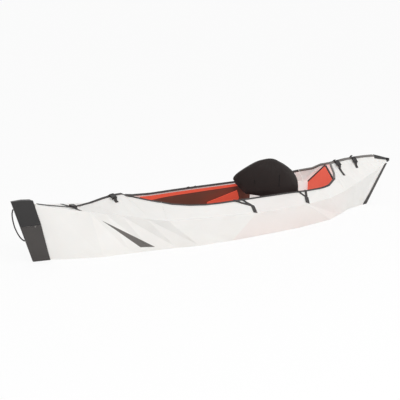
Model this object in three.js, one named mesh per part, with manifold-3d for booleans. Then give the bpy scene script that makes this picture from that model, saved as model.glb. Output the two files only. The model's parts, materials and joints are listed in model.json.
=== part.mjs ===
// Folding kayak: one twin-wall plastic sheet folded along creases into a decked hull,
// held by edge channels, end caps and buckled straps, with a padded seat inside.
// +X is the bow, +Y is port, Z = 0 is the surface that the flat bottom stands on. Millimetres.

import * as THREE from 'three';
import Module from 'manifold-3d';
import { mergeVertices } from 'three/addons/utils/BufferGeometryUtils.js';

// Driving dimensions
const LENGTH = 2950;
const BEAM = 740;
const BOW_HEIGHT = 369;
const SHEET = 5;
const GAP = 0.3;

// The sheet: its creases follow rails
const CREASE_INSET = 0.22;
const FLAP_ROOM = 2.6;
const FLAP_UNDERCUT = 2.5;
const STEM_ROOM = 0.6;
const SHEER_STEPS = 3;
const SETBACK_PASSES = 6;

// Edge channels on the sheet's free edges
const CHANNEL_WALL = 1.7;
const CHANNEL_DEPTH = 9;
const CHANNEL_ROOM = 1.3;
const SEAM_ROOM = 1.2;
const CHANNEL_SETBACK = 24;
const PARTING_ROOM = 2.5;

// End caps
const COVER_WALL = 2;
const COVER_ROOM = 1.4;
const HOOD_WALL = 2.4;
const HOOD_ROOM = 1.5;
const HOOD_ROOF = 9;
const CAP_LEVELS = 4;
const NOSE_HALF = 4;
const NOSE_SHOULDER = 7.5;
const NOSE_ROUND = 4;
const STERN_PLATE_WALL = 3;
const STERN_PLATE_REACH = 20;
const STERN_PLATE_REACH_END = 9;

// Bow carry loop
const LOOP_RADIUS = 4;
const LOOP_BULGE = 27;
const LOOP_SIDES = 8;
const LOOP_STEPS = 20;

// Deck straps and their buckles
const WEBBING_WIDTH = 20;
const WEBBING = 1.5;
const WEBBING_LIFT = 0.8;
const CHANNEL_LIFT = 3.8;
const STRAP_STEP = 9;
const BUCKLE_WIDTH = 30;
const BUCKLE_HEIGHT = 10;
const BUCKLE_WALL = 2;
const SOCKET_LENGTH = 30;
const SOCKET_POCKET = 21;
const PLUG_BASE = 14;
const PLUG_SLOT = 4;
const PRONG_LENGTH = 19;
const PRONG_WIDTH = 5;
const STRAP_RISE = 14;

// Side straps over the gunwale
const TAB_WIDTH = 25;
const THIN_STRAP_WIDTH = 15;

// Inside
const FLOORBOARD = 5;
const FLOORBOARD_MARGIN = 26;
const LINER = 4;
const LINER_TOP_DROP = 16;
const LINER_TOP_INSET = 3;
const LINER_FOOT_INSET = 9;
const BULKHEAD = 5;
const BULKHEAD_LEAN = 7;
const WING_MARGIN = 0.303;
const WING_LEAN = 50;
const WING_HEIGHT = 182;
const SEAT_LENGTH = 455;
const SEAT_WIDTH = 376;
const SEAT_THICKNESS = 26;
const SEAT_EDGE = 9;
const SEAT_CHANNEL = 5;
const BACK_THICKNESS = 46;
const BACK_EDGE = 9;
const BACK_HEIGHT = 227;
const BACK_BOTTOM = 190;
const BACK_WIDTH = 560;
const BACK_WRAP = 40;
const BACK_BOARD = 4;
const BACK_BOARD_WIDTH = 210;
const BACK_BOARD_TOP = 345;
const BACK_BOARD_KNEE = 170;
const BACK_FOOT_ROOM = 20;
const BACK_TOE_STEPS = 6;

// Rails, as shares of half the length, half the beam and the bow height, on the port side
const CHINE_BOW_SHARES = [
  [0.847, 0.070], [0.759, 0.249], [0.658, 0.405], [0.536, 0.476],
  [0.447, 0.530], [0.339, 0.622], [0.244, 0.724], [0.088, 0.773],
];
const CHINE_MID_SHARES = [[0.088, 0.773], [-0.062, 0.768], [-0.292, 0.735], [-0.502, 0.586]];
const CHINE_STERN_SHARES = [[-0.502, 0.586], [-0.610, 0.378], [-0.710, 0.157], [-0.807, 0.059]];
const BOW_FOOT_SHARE = 0.905;
const STERN_FOOT_SHARE = -0.856;
const BOW_TIP_SHARES = [0.983, 0.949];
const STERN_TIP_SHARES = [-0.986, 0.772];
const HOOD_CREASE_SHARES = [0.902, 0.059, 0.892];
const FORE_CORNER_SHARES = [0.420, 0.838, 0.534];
const MID_CORNER_SHARES = [0.007, 1.000, 0.461];
const REAR_CORNER_SHARES = [-0.271, 1.000, 0.472];
const REAR_BEND_SHARES = [-0.441, 0.838, 0.466];
const AFT_CORNER_SHARES = [-0.590, 0.581, 0.474];
const PEAK_CREASE_SHARES = [-0.895, 0.122, 0.650];
const PEAK_END_SHARE = 0.89;
const PEAK_RIDGE_SHARES = [[-0.895, 0.908], [-0.976, 0.818]];
const FORE_SEAM_SHARES = [
  [0.902, 0.927], [0.840, 0.856], [0.759, 0.789], [0.708, 0.779],
  [0.652, 0.805], [0.593, 0.854], [0.539, 0.882], [0.505, 0.883], [0.488, 0.845],
];
const APEX_SHARES = [[0.473, 0.084, 0.830], [0.407, 0.284, 0.759], [0.373, 0.378, 0.732]];
const GUNWALE_FORE_SHARES = [
  [0.373, 0.378, 0.732], [0.339, 0.476, 0.702], [0.271, 0.568, 0.667],
  [0.203, 0.635, 0.650], [0.136, 0.659, 0.645], [0.000, 0.662, 0.640],
];
const GUNWALE_MID_SHARES = [[0.000, 0.662, 0.640], [-0.203, 0.654, 0.631], [-0.271, 0.665, 0.628]];
const GUNWALE_AFT_SHARES = [
  [-0.271, 0.665, 0.628], [-0.339, 0.676, 0.623], [-0.407, 0.668, 0.625],
  [-0.440, 0.659, 0.633], [-0.475, 0.640, 0.652], [-0.542, 0.486, 0.713],
];
const RIM_SHARES = [[-0.542, 0.486, 0.713], [-0.583, 0.297, 0.767], [-0.600, 0.149, 0.850]];
const AFT_SEAM_SHARES = [
  [-0.622, 0.897], [-0.712, 0.930],
  [-0.780, 0.935], [-0.838, 0.934], [-0.895, 0.924],
];

// End cap edges: stations of the cap's open edge and its nose, as shares of half length and height
const COVER_EDGE_SHARES = [[0.847, 0.001], [0.865, 0.291], [0.882, 0.580]];
const HOOD_EDGE_SHARES = [[0.882, 0.584], [0.898, 0.780], [0.913, 0.981]];
const BOW_NOSE_SHARES = [[0.913, 0], [1, 1]];
const STERN_EDGE_SHARES = [[-0.829, 0.001], [-0.900, 0.380], [-0.966, 0.725]];
const STERN_NOSE_SHARES = [[-0.861, 0], [-1, 0.797]];
const STERN_PLATE_SHARES = [-0.896, -0.990];
const STERN_BLOCK_SHARES = [[-0.9875, 0.745], [-1, 0.770], [-1, 0.815], [-0.9875, 0.826]];

// Carry loop ends, as shares of the bow height
const LOOP_END_SHARES = [0.873, 0.350];

// Deck strap stations: share of half length, and half reach as a share of half the beam
const DECK_STRAP_SHARES = [
  { end: 'fore', number: 1, x: 0.739, reach: 0.290 },
  { end: 'fore', number: 2, x: 0.556, reach: 0.205 },
  { end: 'aft', number: 1, x: -0.654, reach: 0.270 },
  { end: 'aft', number: 2, x: -0.759, reach: 0.160 },
];

// Side strap stations as shares of half length: tab foot, joint, then the two gunwale ends.
// The last value is the joint's place between the sheer crease and the gunwale.
const SIDE_STRAP_SHARES = [
  { end: 'front', tab: 0.006, joint: -0.009, ends: [0.059, 0.018], joint_share: 0.5 },
  { end: 'rear', tab: -0.281, joint: -0.304, ends: [-0.291, -0.333], joint_share: 0.45 },
];
const TAB_FOOT_SHARE = 0.05;

// Inside stations, as shares of half length
const FLOORBOARD_SHARES = [0.380, 0.339, 0.244, 0.088, -0.062, -0.292, -0.502, -0.535];
// Seat wings: stations along the boat and heights as shares of the wing's own
const WING_SHARES = [[-0.014, 0], [-0.036, 0.700], [-0.192, 1], [-0.210, 0.700], [-0.210, 0]];
const LINER_SHARES = [0.339, 0.271, 0.203, 0.136, 0.000, -0.102];
const FOOT_BRACE_SHARE = 0.420;
const REAR_BULKHEAD_SHARE = -0.573;
const SEAT_FRONT_SHARE = 0.081;
const BACK_SHARE = -0.261;

// Bulkhead outlines as shares of half beam and bow height, from the foot up
const FOOT_BRACE_OUTLINE_SHARES = [[0.440, 0.030], [0.500, 0.440], [0.210, 0.680]];
const REAR_BULKHEAD_OUTLINE_SHARES = [[0.370, 0.030], [0.414, 0.480], [0.020, 0.830]];

const HALF_LENGTH = LENGTH / 2;
const HALF_BEAM = BEAM / 2;
const STEM_HALF = SHEET + STEM_ROOM;
const SEAT_FLOOR = SHEET + FLOORBOARD + 2 * GAP;

const wasm = await Module();
wasm.setup();

const kayak = new THREE.Group();

const COLOURS = {
  sheet: [0xe4e6ea, 0.35, 0],
  orange: [0xec5a42, 0.45, 0],
  trim: [0x2b2828, 0.55, 0],
  rim: [0x6d6a68, 0.55, 0],
  hood: [0x3e3839, 0.5, 0],
  cover: [0x504a48, 0.5, 0],
  webbing: [0x25221f, 0.85, 0],
  buckle: [0x1b1b1c, 0.4, 0],
  pad: [0x352c2b, 0.9, 0],
  board: [0xc9ccd0, 0.5, 0],
};

function point(share) {
  return new THREE.Vector3(
    share[0] * HALF_LENGTH,
    share[1] * HALF_BEAM,
    share[2] * BOW_HEIGHT,
  );
}

function chinePoint(share) {
  return point([share[0], share[1], 0]);
}

function mirrored(vector) {
  return new THREE.Vector3(vector.x, -vector.y, vector.z);
}

function divided(start, end, steps) {
  return Array.from({ length: steps + 1 }, (_, k) => start.clone().lerp(end, k / steps));
}

// Piecewise straight value of one coordinate along a rail, by X
function alongRail(rail, x) {
  const order = [...rail].sort((a, b) => a.x - b.x);
  let k = 0;
  while (k < order.length - 2 && x > order[k + 1].x) {
    k += 1;
  }
  const share = (x - order[k].x) / (order[k + 1].x - order[k].x);
  return order[k].clone().lerp(order[k + 1], share);
}

function signedVolume(triangles) {
  return triangles.reduce((sum, [a, b, c]) => sum + a.dot(b.clone().cross(c)), 0);
}

// One closed body from a list of triangles, turned so that its faces point out
function bodyFrom(triangles) {
  const outward = signedVolume(triangles) > 0;
  const positions = [];
  for (const [a, b, c] of triangles) {
    const corners = outward ? [a, b, c] : [a, c, b];
    corners.forEach((corner) => positions.push(corner.x, corner.y, corner.z));
  }
  const geometry = new THREE.BufferGeometry();
  geometry.setAttribute('position', new THREE.Float32BufferAttribute(positions, 3));
  return mergeVertices(geometry);
}

function mirroredBody(geometry) {
  const copy = geometry.clone().scale(1, -1, 1);
  const index = copy.index.array;
  for (let k = 0; k < index.length; k += 3) {
    [index[k + 1], index[k + 2]] = [index[k + 2], index[k + 1]];
  }
  return copy;
}

// Closed sweep through rings of points; the section's own triangles close both ends
function sweep(rings, section) {
  const triangles = [];
  const count = rings[0].length;
  for (let k = 0; k + 1 < rings.length; k += 1) {
    for (let i = 0; i < count; i += 1) {
      const j = (i + 1) % count;
      triangles.push([rings[k][i], rings[k][j], rings[k + 1][j]]);
      triangles.push([rings[k][i], rings[k + 1][j], rings[k + 1][i]]);
    }
  }
  const last = rings[rings.length - 1];
  for (const [a, b, c] of section) {
    triangles.push([rings[0][a], rings[0][c], rings[0][b]]);
    triangles.push([last[a], last[b], last[c]]);
  }
  return bodyFrom(triangles);
}

const BOX_SECTION = [[0, 1, 2], [0, 2, 3]];
const CHANNEL_SECTION = [[0, 1, 6], [0, 6, 7], [1, 2, 5], [1, 5, 6], [2, 3, 4], [2, 4, 5]];

function fanSection(count) {
  return Array.from({ length: count - 2 }, (_, k) => [0, k + 1, k + 2]);
}

function toSolid(geometry) {
  const plain = geometry.clone();
  plain.deleteAttribute('normal');
  plain.deleteAttribute('uv');
  const merged = mergeVertices(plain);
  const mesh = new wasm.Mesh({
    numProp: 3,
    vertProperties: new Float32Array(merged.attributes.position.array),
    triVerts: new Uint32Array(merged.index.array),
  });
  return new wasm.Manifold(mesh);
}

function toGeometry(solid) {
  const mesh = solid.getMesh();
  const geometry = new THREE.BufferGeometry();
  geometry.setAttribute('position', new THREE.Float32BufferAttribute(mesh.vertProperties, 3));
  geometry.setIndex(new THREE.Uint32BufferAttribute(mesh.triVerts, 1));
  return geometry;
}

function join(geometries) {
  const solids = geometries.map(toSolid);
  return toGeometry(solids.reduce((whole, solid) => whole.add(solid)));
}

function cut(geometry, tool) {
  return toGeometry(toSolid(geometry).subtract(toSolid(tool)));
}

function box(min, max) {
  const geometry = new THREE.BoxGeometry(max[0] - min[0], max[1] - min[1], max[2] - min[2]);
  geometry.translate((min[0] + max[0]) / 2, (min[1] + max[1]) / 2, (min[2] + max[2]) / 2);
  return geometry;
}

function addMesh(name, geometry, colour) {
  const shown = geometry.index ? geometry.toNonIndexed() : geometry;
  shown.computeVertexNormals();
  const [color, roughness, metalness] = COLOURS[colour];
  const material = new THREE.MeshStandardMaterial({ color, roughness, metalness });
  const mesh = new THREE.Mesh(shown, material);
  mesh.name = name;
  kayak.add(mesh);
  return mesh;
}

function addPair(name, geometry, colour) {
  addMesh(`port_${name}`, geometry, colour);
  addMesh(`starboard_${name}`, mirroredBody(geometry), colour);
}

// The rails of the sheet

// A flap's straight hinge line, with a vertex abreast of each one on its seam
function hingeRail(start, end, seamShares) {
  const between = seamShares.map((share) => alongRail([start, end], share[0] * HALF_LENGTH));
  return [start, ...between, end];
}

const bowFoot = new THREE.Vector3(BOW_FOOT_SHARE * HALF_LENGTH, STEM_HALF, 0);
const sternFoot = new THREE.Vector3(STERN_FOOT_SHARE * HALF_LENGTH, STEM_HALF, 0);
const bowTip = point([BOW_TIP_SHARES[0], 0, BOW_TIP_SHARES[1]]).setY(STEM_HALF);
const sternTip = point([STERN_TIP_SHARES[0], 0, STERN_TIP_SHARES[1]]).setY(STEM_HALF);
const hoodCrease = point(HOOD_CREASE_SHARES);
const foreCorner = point(FORE_CORNER_SHARES);
const midCorner = point(MID_CORNER_SHARES);
const rearCorner = point(REAR_CORNER_SHARES);
const aftCorner = point(AFT_CORNER_SHARES);
const peakCrease = point(PEAK_CREASE_SHARES);
const peakEnd = peakCrease.clone().lerp(sternTip, PEAK_END_SHARE);

const chineBow = [bowFoot, ...CHINE_BOW_SHARES.map(chinePoint)];
const chineMid = CHINE_MID_SHARES.map(chinePoint);
const chineStern = [...CHINE_STERN_SHARES.map(chinePoint), sternFoot];
const chine = [...chineBow, ...chineMid.slice(1), ...chineStern.slice(1)];
const foreHinge = hingeRail(hoodCrease, foreCorner, FORE_SEAM_SHARES.slice(1));
const aftHinge = hingeRail(aftCorner, peakCrease, AFT_SEAM_SHARES.slice(0, -1));
const sheerFore = divided(foreCorner, midCorner, SHEER_STEPS);
const sheerMid = [midCorner, rearCorner];
const sheerAft = [rearCorner, point(REAR_BEND_SHARES), aftCorner];
const gunwaleFore = GUNWALE_FORE_SHARES.map(point);
const gunwaleMid = GUNWALE_MID_SHARES.map(point);
const gunwaleAft = GUNWALE_AFT_SHARES.map(point);

const sheerRail = [...foreHinge, ...sheerFore.slice(1), ...sheerMid.slice(1), ...sheerAft.slice(1)];
const gunwaleRail = [...gunwaleFore, ...gunwaleMid.slice(1), ...gunwaleAft.slice(1)];

// A flap's edge stands back from the centre plane, so that its channel clears the other side's
function seamEdge(share, hinge) {
  const x = share[0] * HALF_LENGTH;
  const crease = alongRail(hinge, x);
  const top = share[1] * BOW_HEIGHT;
  const back = CHANNEL_ROOM + CHANNEL_WALL;
  const ridge = new THREE.Vector3(x, 0, top);
  const edge = new THREE.Vector3();
  for (let pass = 0; pass < SETBACK_PASSES; pass += 1) {
    const down = crease.clone().sub(ridge).setX(0).normalize();
    const setback = back + ((SHEET + back) * -down.z + SEAM_ROOM / 2) / down.y;
    edge.copy(ridge).addScaledVector(down, setback);
    const rise = (setback - back) * -down.z - back * down.y;
    ridge.setZ(top + Math.max(rise, 0));
  }
  return edge;
}

const foreSeam = FORE_SEAM_SHARES.map((share) => seamEdge(share, foreHinge));
const aftSeam = AFT_SEAM_SHARES.map((share) => seamEdge(share, aftHinge));
const apex = APEX_SHARES.map(point);
const rim = RIM_SHARES.map(point);
const foreEdge = [...foreSeam, ...apex];
const aftEdge = [...rim, ...aftSeam];
const peakRidge = PEAK_RIDGE_SHARES.map((share) => point([share[0], 0, share[1]]));

// Panels: each spans two rails. The outward hint tells the outside from the inside.
// The bow side's rulings lead along the sheer, which keeps its entry hollow.
const BOW_LEAD_SHARE = 0.07;

const OUT_SIDE = new THREE.Vector3(0, 1, 0);
const OUT_DECK = new THREE.Vector3(0, 0, 1);
const OUT_PEAK = new THREE.Vector3(0, 1, 1);
const OUT_BOTTOM = new THREE.Vector3(0, 0, -1);

function byShare(rail) {
  const run = rail[rail.length - 1].x - rail[0].x;
  return rail.map((vertex) => (run === 0 ? 0 : (vertex.x - rail[0].x) / run));
}

function byPlace(rail) {
  return rail.map((vertex) => -vertex.x);
}

// Triangles between two rails, by advancing along the rail that lags behind
function ruled(railA, railB, outward, { lead = 0, measure = byShare }) {
  const sharesA = measure(railA);
  const sharesB = measure(railB);
  const triangles = [];
  let a = 0;
  let b = 0;
  while (a < railA.length - 1 || b < railB.length - 1) {
    const nextA = a < railA.length - 1 ? sharesA[a + 1] : Infinity;
    const nextB = b < railB.length - 1 ? sharesB[b + 1] : Infinity;
    if (nextA <= nextB + lead) {
      triangles.push([railA[a], railB[b], railA[a + 1]]);
      a += 1;
    } else {
      triangles.push([railA[a], railB[b], railB[b + 1]]);
      b += 1;
    }
  }
  const area = triangles.reduce((sum, t) => sum.add(faceNormal(t)), new THREE.Vector3());
  return area.dot(outward) > 0 ? triangles : triangles.map(([p, q, r]) => [p, r, q]);
}

function faceNormal([a, b, c]) {
  return b.clone().sub(a).cross(c.clone().sub(a));
}

function makePanel(name, railA, railB, outward, ruling = {}, parting = []) {
  const loop = railB.length > 1 || railB[0] !== railA[0] ? [...railA, ...[...railB].reverse()] : railA;
  const triangles = ruled(railA, railB, outward, ruling);
  const normals = new Map(loop.map((vertex) => [vertex, new THREE.Vector3()]));
  for (const triangle of triangles) {
    const normal = faceNormal(triangle);
    triangle.forEach((vertex) => normals.get(vertex).add(normal));
  }
  normals.forEach((normal) => normal.normalize());
  return { name, loop, triangles, normals, parting };
}

const sides = [
  makePanel('side_bow', [bowTip, ...foreHinge], chineBow, OUT_SIDE, { lead: BOW_LEAD_SHARE }),
  makePanel('side_forward', sheerFore, [chineMid[0]], OUT_SIDE),
  makePanel('side_mid', sheerMid, chineMid, OUT_SIDE),
  makePanel('side_stern', [...sheerAft.slice(0, 2), ...aftHinge, peakEnd, sternTip].reverse(),
    [...chineStern].reverse(), OUT_SIDE),
];
const foreFlap = makePanel(
  'fore_deck_flap', foreHinge, foreEdge, OUT_DECK, { measure: byPlace }, [foreCorner, foreEdge.at(-1)],
);
const aftFlap = makePanel(
  'aft_deck_flap', aftHinge, aftEdge, OUT_DECK, { measure: byPlace }, [aftCorner, aftEdge[0]],
);
const decks = [
  makePanel('deck_forward', sheerFore, gunwaleFore, OUT_DECK),
  makePanel('deck_mid', sheerMid, gunwaleMid, OUT_DECK),
  makePanel('deck_aft', sheerAft, gunwaleAft, OUT_DECK),
];
const peak = makePanel('stern_peak_panel', [peakCrease, peakEnd], peakRidge, OUT_PEAK);
const bottom = makePanel('hull_bottom_panel', chine, chine.map(mirrored), OUT_BOTTOM);
const portPanels = [...sides, foreFlap, aftFlap, ...decks, peak];

function keyOf(vertex) {
  return vertex.toArray().map((value) => value.toFixed(2)).join(' ');
}

// Normals of every panel that meets at a corner of the sheet
const meeting = new Map();

function meetAt(vertex, normal) {
  const key = keyOf(vertex);
  if (!meeting.has(key)) {
    meeting.set(key, []);
  }
  meeting.get(key).push(normal);
}

for (const panel of [...portPanels, bottom]) {
  for (const triangle of panel.triangles) {
    triangle.forEach((vertex) => meetAt(vertex, faceNormal(triangle).normalize()));
  }
}
for (const triangle of [...sides, peak].flatMap((panel) => panel.triangles)) {
  triangle.forEach((vertex) => meetAt(mirrored(vertex), mirrored(faceNormal(triangle).normalize())));
}

// The point nearest to lying at the given distance from each plane through a vertex
const FLAT_FOLD_SHARE = 0.01;

function offsetFrom(vertex, planes) {
  const matrix = new THREE.Matrix3().multiplyScalar(0);
  const right = new THREE.Vector3();
  for (const [normal, distance] of planes) {
    const n = normal.toArray();
    n.forEach((row, i) => n.forEach((column, j) => {
      matrix.elements[3 * i + j] += row * column;
    }));
    right.addScaledVector(normal, distance);
  }
  [0, 4, 8].forEach((k) => {
    matrix.elements[k] += FLAT_FOLD_SHARE;
  });
  return vertex.clone().add(right.applyMatrix3(matrix.invert()));
}

// The inner corner lies one sheet thickness inside every facet that meets there
function innerOf(vertex) {
  return offsetFrom(vertex, meeting.get(keyOf(vertex)).map((normal) => [normal, -SHEET]));
}

// Both panels at a crease split its mitre along the same diagonal
function foldOrder({ x, y, z }) {
  return 3 * x + Math.abs(y) + 2 * z;
}

// A corner slid along its other edge until it lies further in from the parting edge
function slid(corner, toward, inward, room) {
  const along = toward.clone().sub(corner).normalize();
  return corner.clone().addScaledVector(along, room / along.dot(inward));
}

function partedCorners(vertex, toward, inward) {
  return [
    slid(vertex, toward, inward, FLAP_ROOM),
    slid(innerOf(vertex), innerOf(toward), inward, FLAP_ROOM + FLAP_UNDERCUT),
  ];
}

// The panel as a solid: drawn in a little at every edge, so that neighbours stay apart.
// A moving flap is drawn in further along its parting edge, most at its underside, because the
// mitre there leans under the neighbour that the flap swings past.
function plate(panel) {
  const { loop, triangles, normals, parting } = panel;
  const turned = loopTurn(panel) ? loop : [...loop].reverse();
  const parts = (from, to) => parting.includes(from) && parting.includes(to);
  const drawn = new Map();
  turned.forEach((vertex, k) => {
    const before = turned[(k + turned.length - 1) % turned.length];
    const after = turned[(k + 1) % turned.length];
    const normal = normals.get(vertex);
    const first = normal.clone().cross(vertex.clone().sub(before)).normalize();
    const second = normal.clone().cross(after.clone().sub(vertex)).normalize();
    const spread = Math.max(1 + first.dot(second), FLAT_FOLD_SHARE * SHEET);
    const shift = first.clone().add(second).multiplyScalar(CREASE_INSET / spread);
    let corners = [vertex, innerOf(vertex)];
    if (parts(before, vertex)) {
      corners = partedCorners(vertex, after, first);
    } else if (parts(vertex, after)) {
      corners = partedCorners(vertex, before, second);
    }
    drawn.set(vertex, corners.map((corner) => corner.clone().add(shift)));
  });
  const faces = [];
  for (const [a, b, c] of triangles) {
    faces.push([a, b, c].map((vertex) => drawn.get(vertex)[0]));
    faces.push([a, c, b].map((vertex) => drawn.get(vertex)[1]));
  }
  turned.forEach((vertex, k) => {
    const after = turned[(k + 1) % turned.length];
    const [outA, inA] = drawn.get(vertex);
    const [outB, inB] = drawn.get(after);
    if (foldOrder(vertex) > foldOrder(after)) {
      faces.push([outB, outA, inB], [outA, inA, inB]);
    } else {
      faces.push([outB, outA, inA], [outB, inA, inB]);
    }
  });
  return bodyFrom(faces);
}

// True if the loop runs counter-clockwise seen from outside
function loopTurn({ loop, triangles }) {
  const area = new THREE.Vector3();
  loop.forEach((vertex, k) => {
    area.add(vertex.clone().cross(loop[(k + 1) % loop.length]));
  });
  const outward = triangles.reduce((sum, t) => sum.add(faceNormal(t)), new THREE.Vector3());
  return area.dot(outward) > 0;
}

addMesh('hull_bottom_panel', plate(bottom), 'sheet');
for (const panel of portPanels) {
  addPair(panel.name, plate(panel), 'sheet');
}

// Heights and breadths read off the panels' outer faces

const SLIVER_SHARE = 1e-6;

function hit(panels, first, second, read, p, q) {
  for (const panel of panels) {
    for (const [a, b, c] of panel.triangles) {
      const area = (b[first] - a[first]) * (c[second] - a[second])
        - (c[first] - a[first]) * (b[second] - a[second]);
      if (Math.abs(area) < SLIVER_SHARE) {
        continue;
      }
      const v = ((p - a[first]) * (c[second] - a[second]) - (c[first] - a[first]) * (q - a[second])) / area;
      const w = ((b[first] - a[first]) * (q - a[second]) - (p - a[first]) * (b[second] - a[second])) / area;
      if (v >= -SLIVER_SHARE && w >= -SLIVER_SHARE && v + w <= 1 + SLIVER_SHARE) {
        return a[read] + v * (b[read] - a[read]) + w * (c[read] - a[read]);
      }
    }
  }
  return undefined;
}

function deckHeight(x, y) {
  return hit([foreFlap, aftFlap, ...decks, peak], 'x', 'y', 'z', x, y);
}

function sideBreadth(x, z) {
  return hit([...sides].reverse(), 'x', 'z', 'y', x, z);
}

// Edge channels: one U section along the whole free edge, parted at the flaps' ends

const channelBack = CHANNEL_ROOM + CHANNEL_WALL;

const CHANNEL_OUTLINE = [
  [CHANNEL_DEPTH, -SHEET - channelBack],
  [-channelBack, -SHEET - channelBack],
  [-channelBack, channelBack],
  [CHANNEL_DEPTH, channelBack],
  [CHANNEL_DEPTH, CHANNEL_ROOM],
  [-CHANNEL_ROOM, CHANNEL_ROOM],
  [-CHANNEL_ROOM, -SHEET - CHANNEL_ROOM],
  [CHANNEL_DEPTH, -SHEET - CHANNEL_ROOM],
];

const freeEdge = [
  ...foreEdge, ...gunwaleFore.slice(1), ...gunwaleMid.slice(1), ...gunwaleAft.slice(1), ...aftEdge.slice(1),
];

// Normal of the facet that carries one stretch of the free edge
function facetNormal(from, to) {
  const ends = [keyOf(from), keyOf(to)];
  const facets = [foreFlap, ...decks, aftFlap].flatMap((panel) => panel.triangles);
  const facet = facets.find((triangle) => ends.every((end) => triangle.map(keyOf).includes(end)));
  return faceNormal(facet).normalize();
}

const stretches = freeEdge.slice(1).map((to, k) => {
  const from = freeEdge[k];
  const normal = facetNormal(from, to);
  const inward = to.clone().sub(from).cross(normal).normalize();
  return { normal, inward };
});

const channelRings = freeEdge.map((vertex, k) => {
  const before = stretches[Math.max(k - 1, 0)];
  const after = stretches[Math.min(k, stretches.length - 1)];
  return CHANNEL_OUTLINE.map(([u, v]) => offsetFrom(vertex, [before, after].flatMap((stretch) => (
    [[stretch.inward, u], [stretch.normal, v]]
  ))));
});

function partedRings(from, to, setBack = GAP, endRoom = GAP) {
  const rings = channelRings.slice(from, to + 1);
  const shorten = (ring, next, length) => {
    const step = ring[0].distanceTo(next[0]);
    return ring.map((corner, i) => corner.clone().lerp(next[i], length / step));
  };
  const last = rings.length - 1;
  const first = shorten(rings[0], rings[1], setBack);
  const final = shorten(rings[last], rings[last - 1], endRoom);
  return [first, ...rings.slice(1, last), final];
}

const flapEndIndex = foreEdge.length - 1;
const rimStartIndex = freeEdge.length - aftEdge.length;
const foreSeamRings = partedRings(0, flapEndIndex, CHANNEL_SETBACK, PARTING_ROOM);
addPair('fore_seam_channel', sweep(foreSeamRings, CHANNEL_SECTION), 'trim');
addPair('cockpit_channel', sweep(partedRings(flapEndIndex, rimStartIndex), CHANNEL_SECTION), 'trim');
const rimEndIndex = freeEdge.length - 1;
const aftSeamRings = partedRings(rimStartIndex, rimEndIndex, PARTING_ROOM);
addPair('aft_seam_channel', sweep(aftSeamRings, CHANNEL_SECTION), 'rim');

// End caps: V-shaped shells round the stems

function noseAt(shares, z) {
  const [low, high] = shares;
  const share = (z / BOW_HEIGHT - low[1]) / (high[1] - low[1]);
  return (low[0] + share * (high[0] - low[0])) * HALF_LENGTH;
}

function stemAt(foot, tip, z) {
  return foot.x + (tip.x - foot.x) * (z / tip.z);
}

function capRings({ edge, nose, foot, tip, room, wall }) {
  const sense = Math.sign(foot.x);
  const stations = edge.map(([x, z]) => new THREE.Vector3(x * HALF_LENGTH, 0, z * BOW_HEIGHT));
  const levels = stations.slice(1).flatMap(
    (station, k) => divided(stations[k], station, CAP_LEVELS).slice(1),
  );
  return [stations[0], ...levels].map(({ x, z }) => {
    const crease = Math.min(z, alongRail(chineSheer(sense), x).z - SLIVER_SHARE);
    const breadth = sideBreadth(x, crease) + room;
    const noseX = noseAt(nose, z);
    const stemX = stemAt(foot, tip, z) + sense * room;
    const midX = (x + stemX) / 2;
    const midBreadth = sideBreadth(midX, crease) + room;
    const outer = [
      [x, breadth + wall], [midX, midBreadth + wall],
      [noseX - sense * NOSE_ROUND, NOSE_SHOULDER + room], [noseX, NOSE_HALF],
    ];
    const inner = [[x, breadth], [midX, midBreadth], [stemX, STEM_HALF + room]];
    return { outer, inner, z };
  });
}

function chineSheer(sense) {
  return sense > 0 ? [...foreHinge, bowTip] : [...aftHinge, sternTip];
}

function vRing({ outer, inner, z }) {
  const port = outer.map(([x, y]) => new THREE.Vector3(x, y, z));
  const inside = inner.map(([x, y]) => new THREE.Vector3(x, y, z));
  return [
    ...port, ...[...port].reverse().map(mirrored), ...inside.map(mirrored), ...[...inside].reverse(),
  ];
}

const V_SECTION = [
  [0, 1, 12], [0, 12, 13], [1, 2, 11], [1, 11, 12], [2, 3, 11], [3, 4, 10],
  [3, 10, 11], [4, 5, 10], [5, 6, 9], [5, 9, 10], [6, 7, 8], [6, 8, 9],
];

const bowCover = capRings({
  edge: COVER_EDGE_SHARES, nose: BOW_NOSE_SHARES, foot: bowFoot, tip: bowTip,
  room: COVER_ROOM, wall: COVER_WALL,
});
addMesh('bow_stem_cover', sweep(bowCover.map(vRing), V_SECTION), 'cover');

const sternCover = capRings({
  edge: STERN_EDGE_SHARES, nose: STERN_NOSE_SHARES, foot: sternFoot, tip: sternTip,
  room: COVER_ROOM, wall: COVER_WALL,
});
addMesh('stern_stem_cover', sweep(sternCover.map(vRing), V_SECTION), 'cover');

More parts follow.
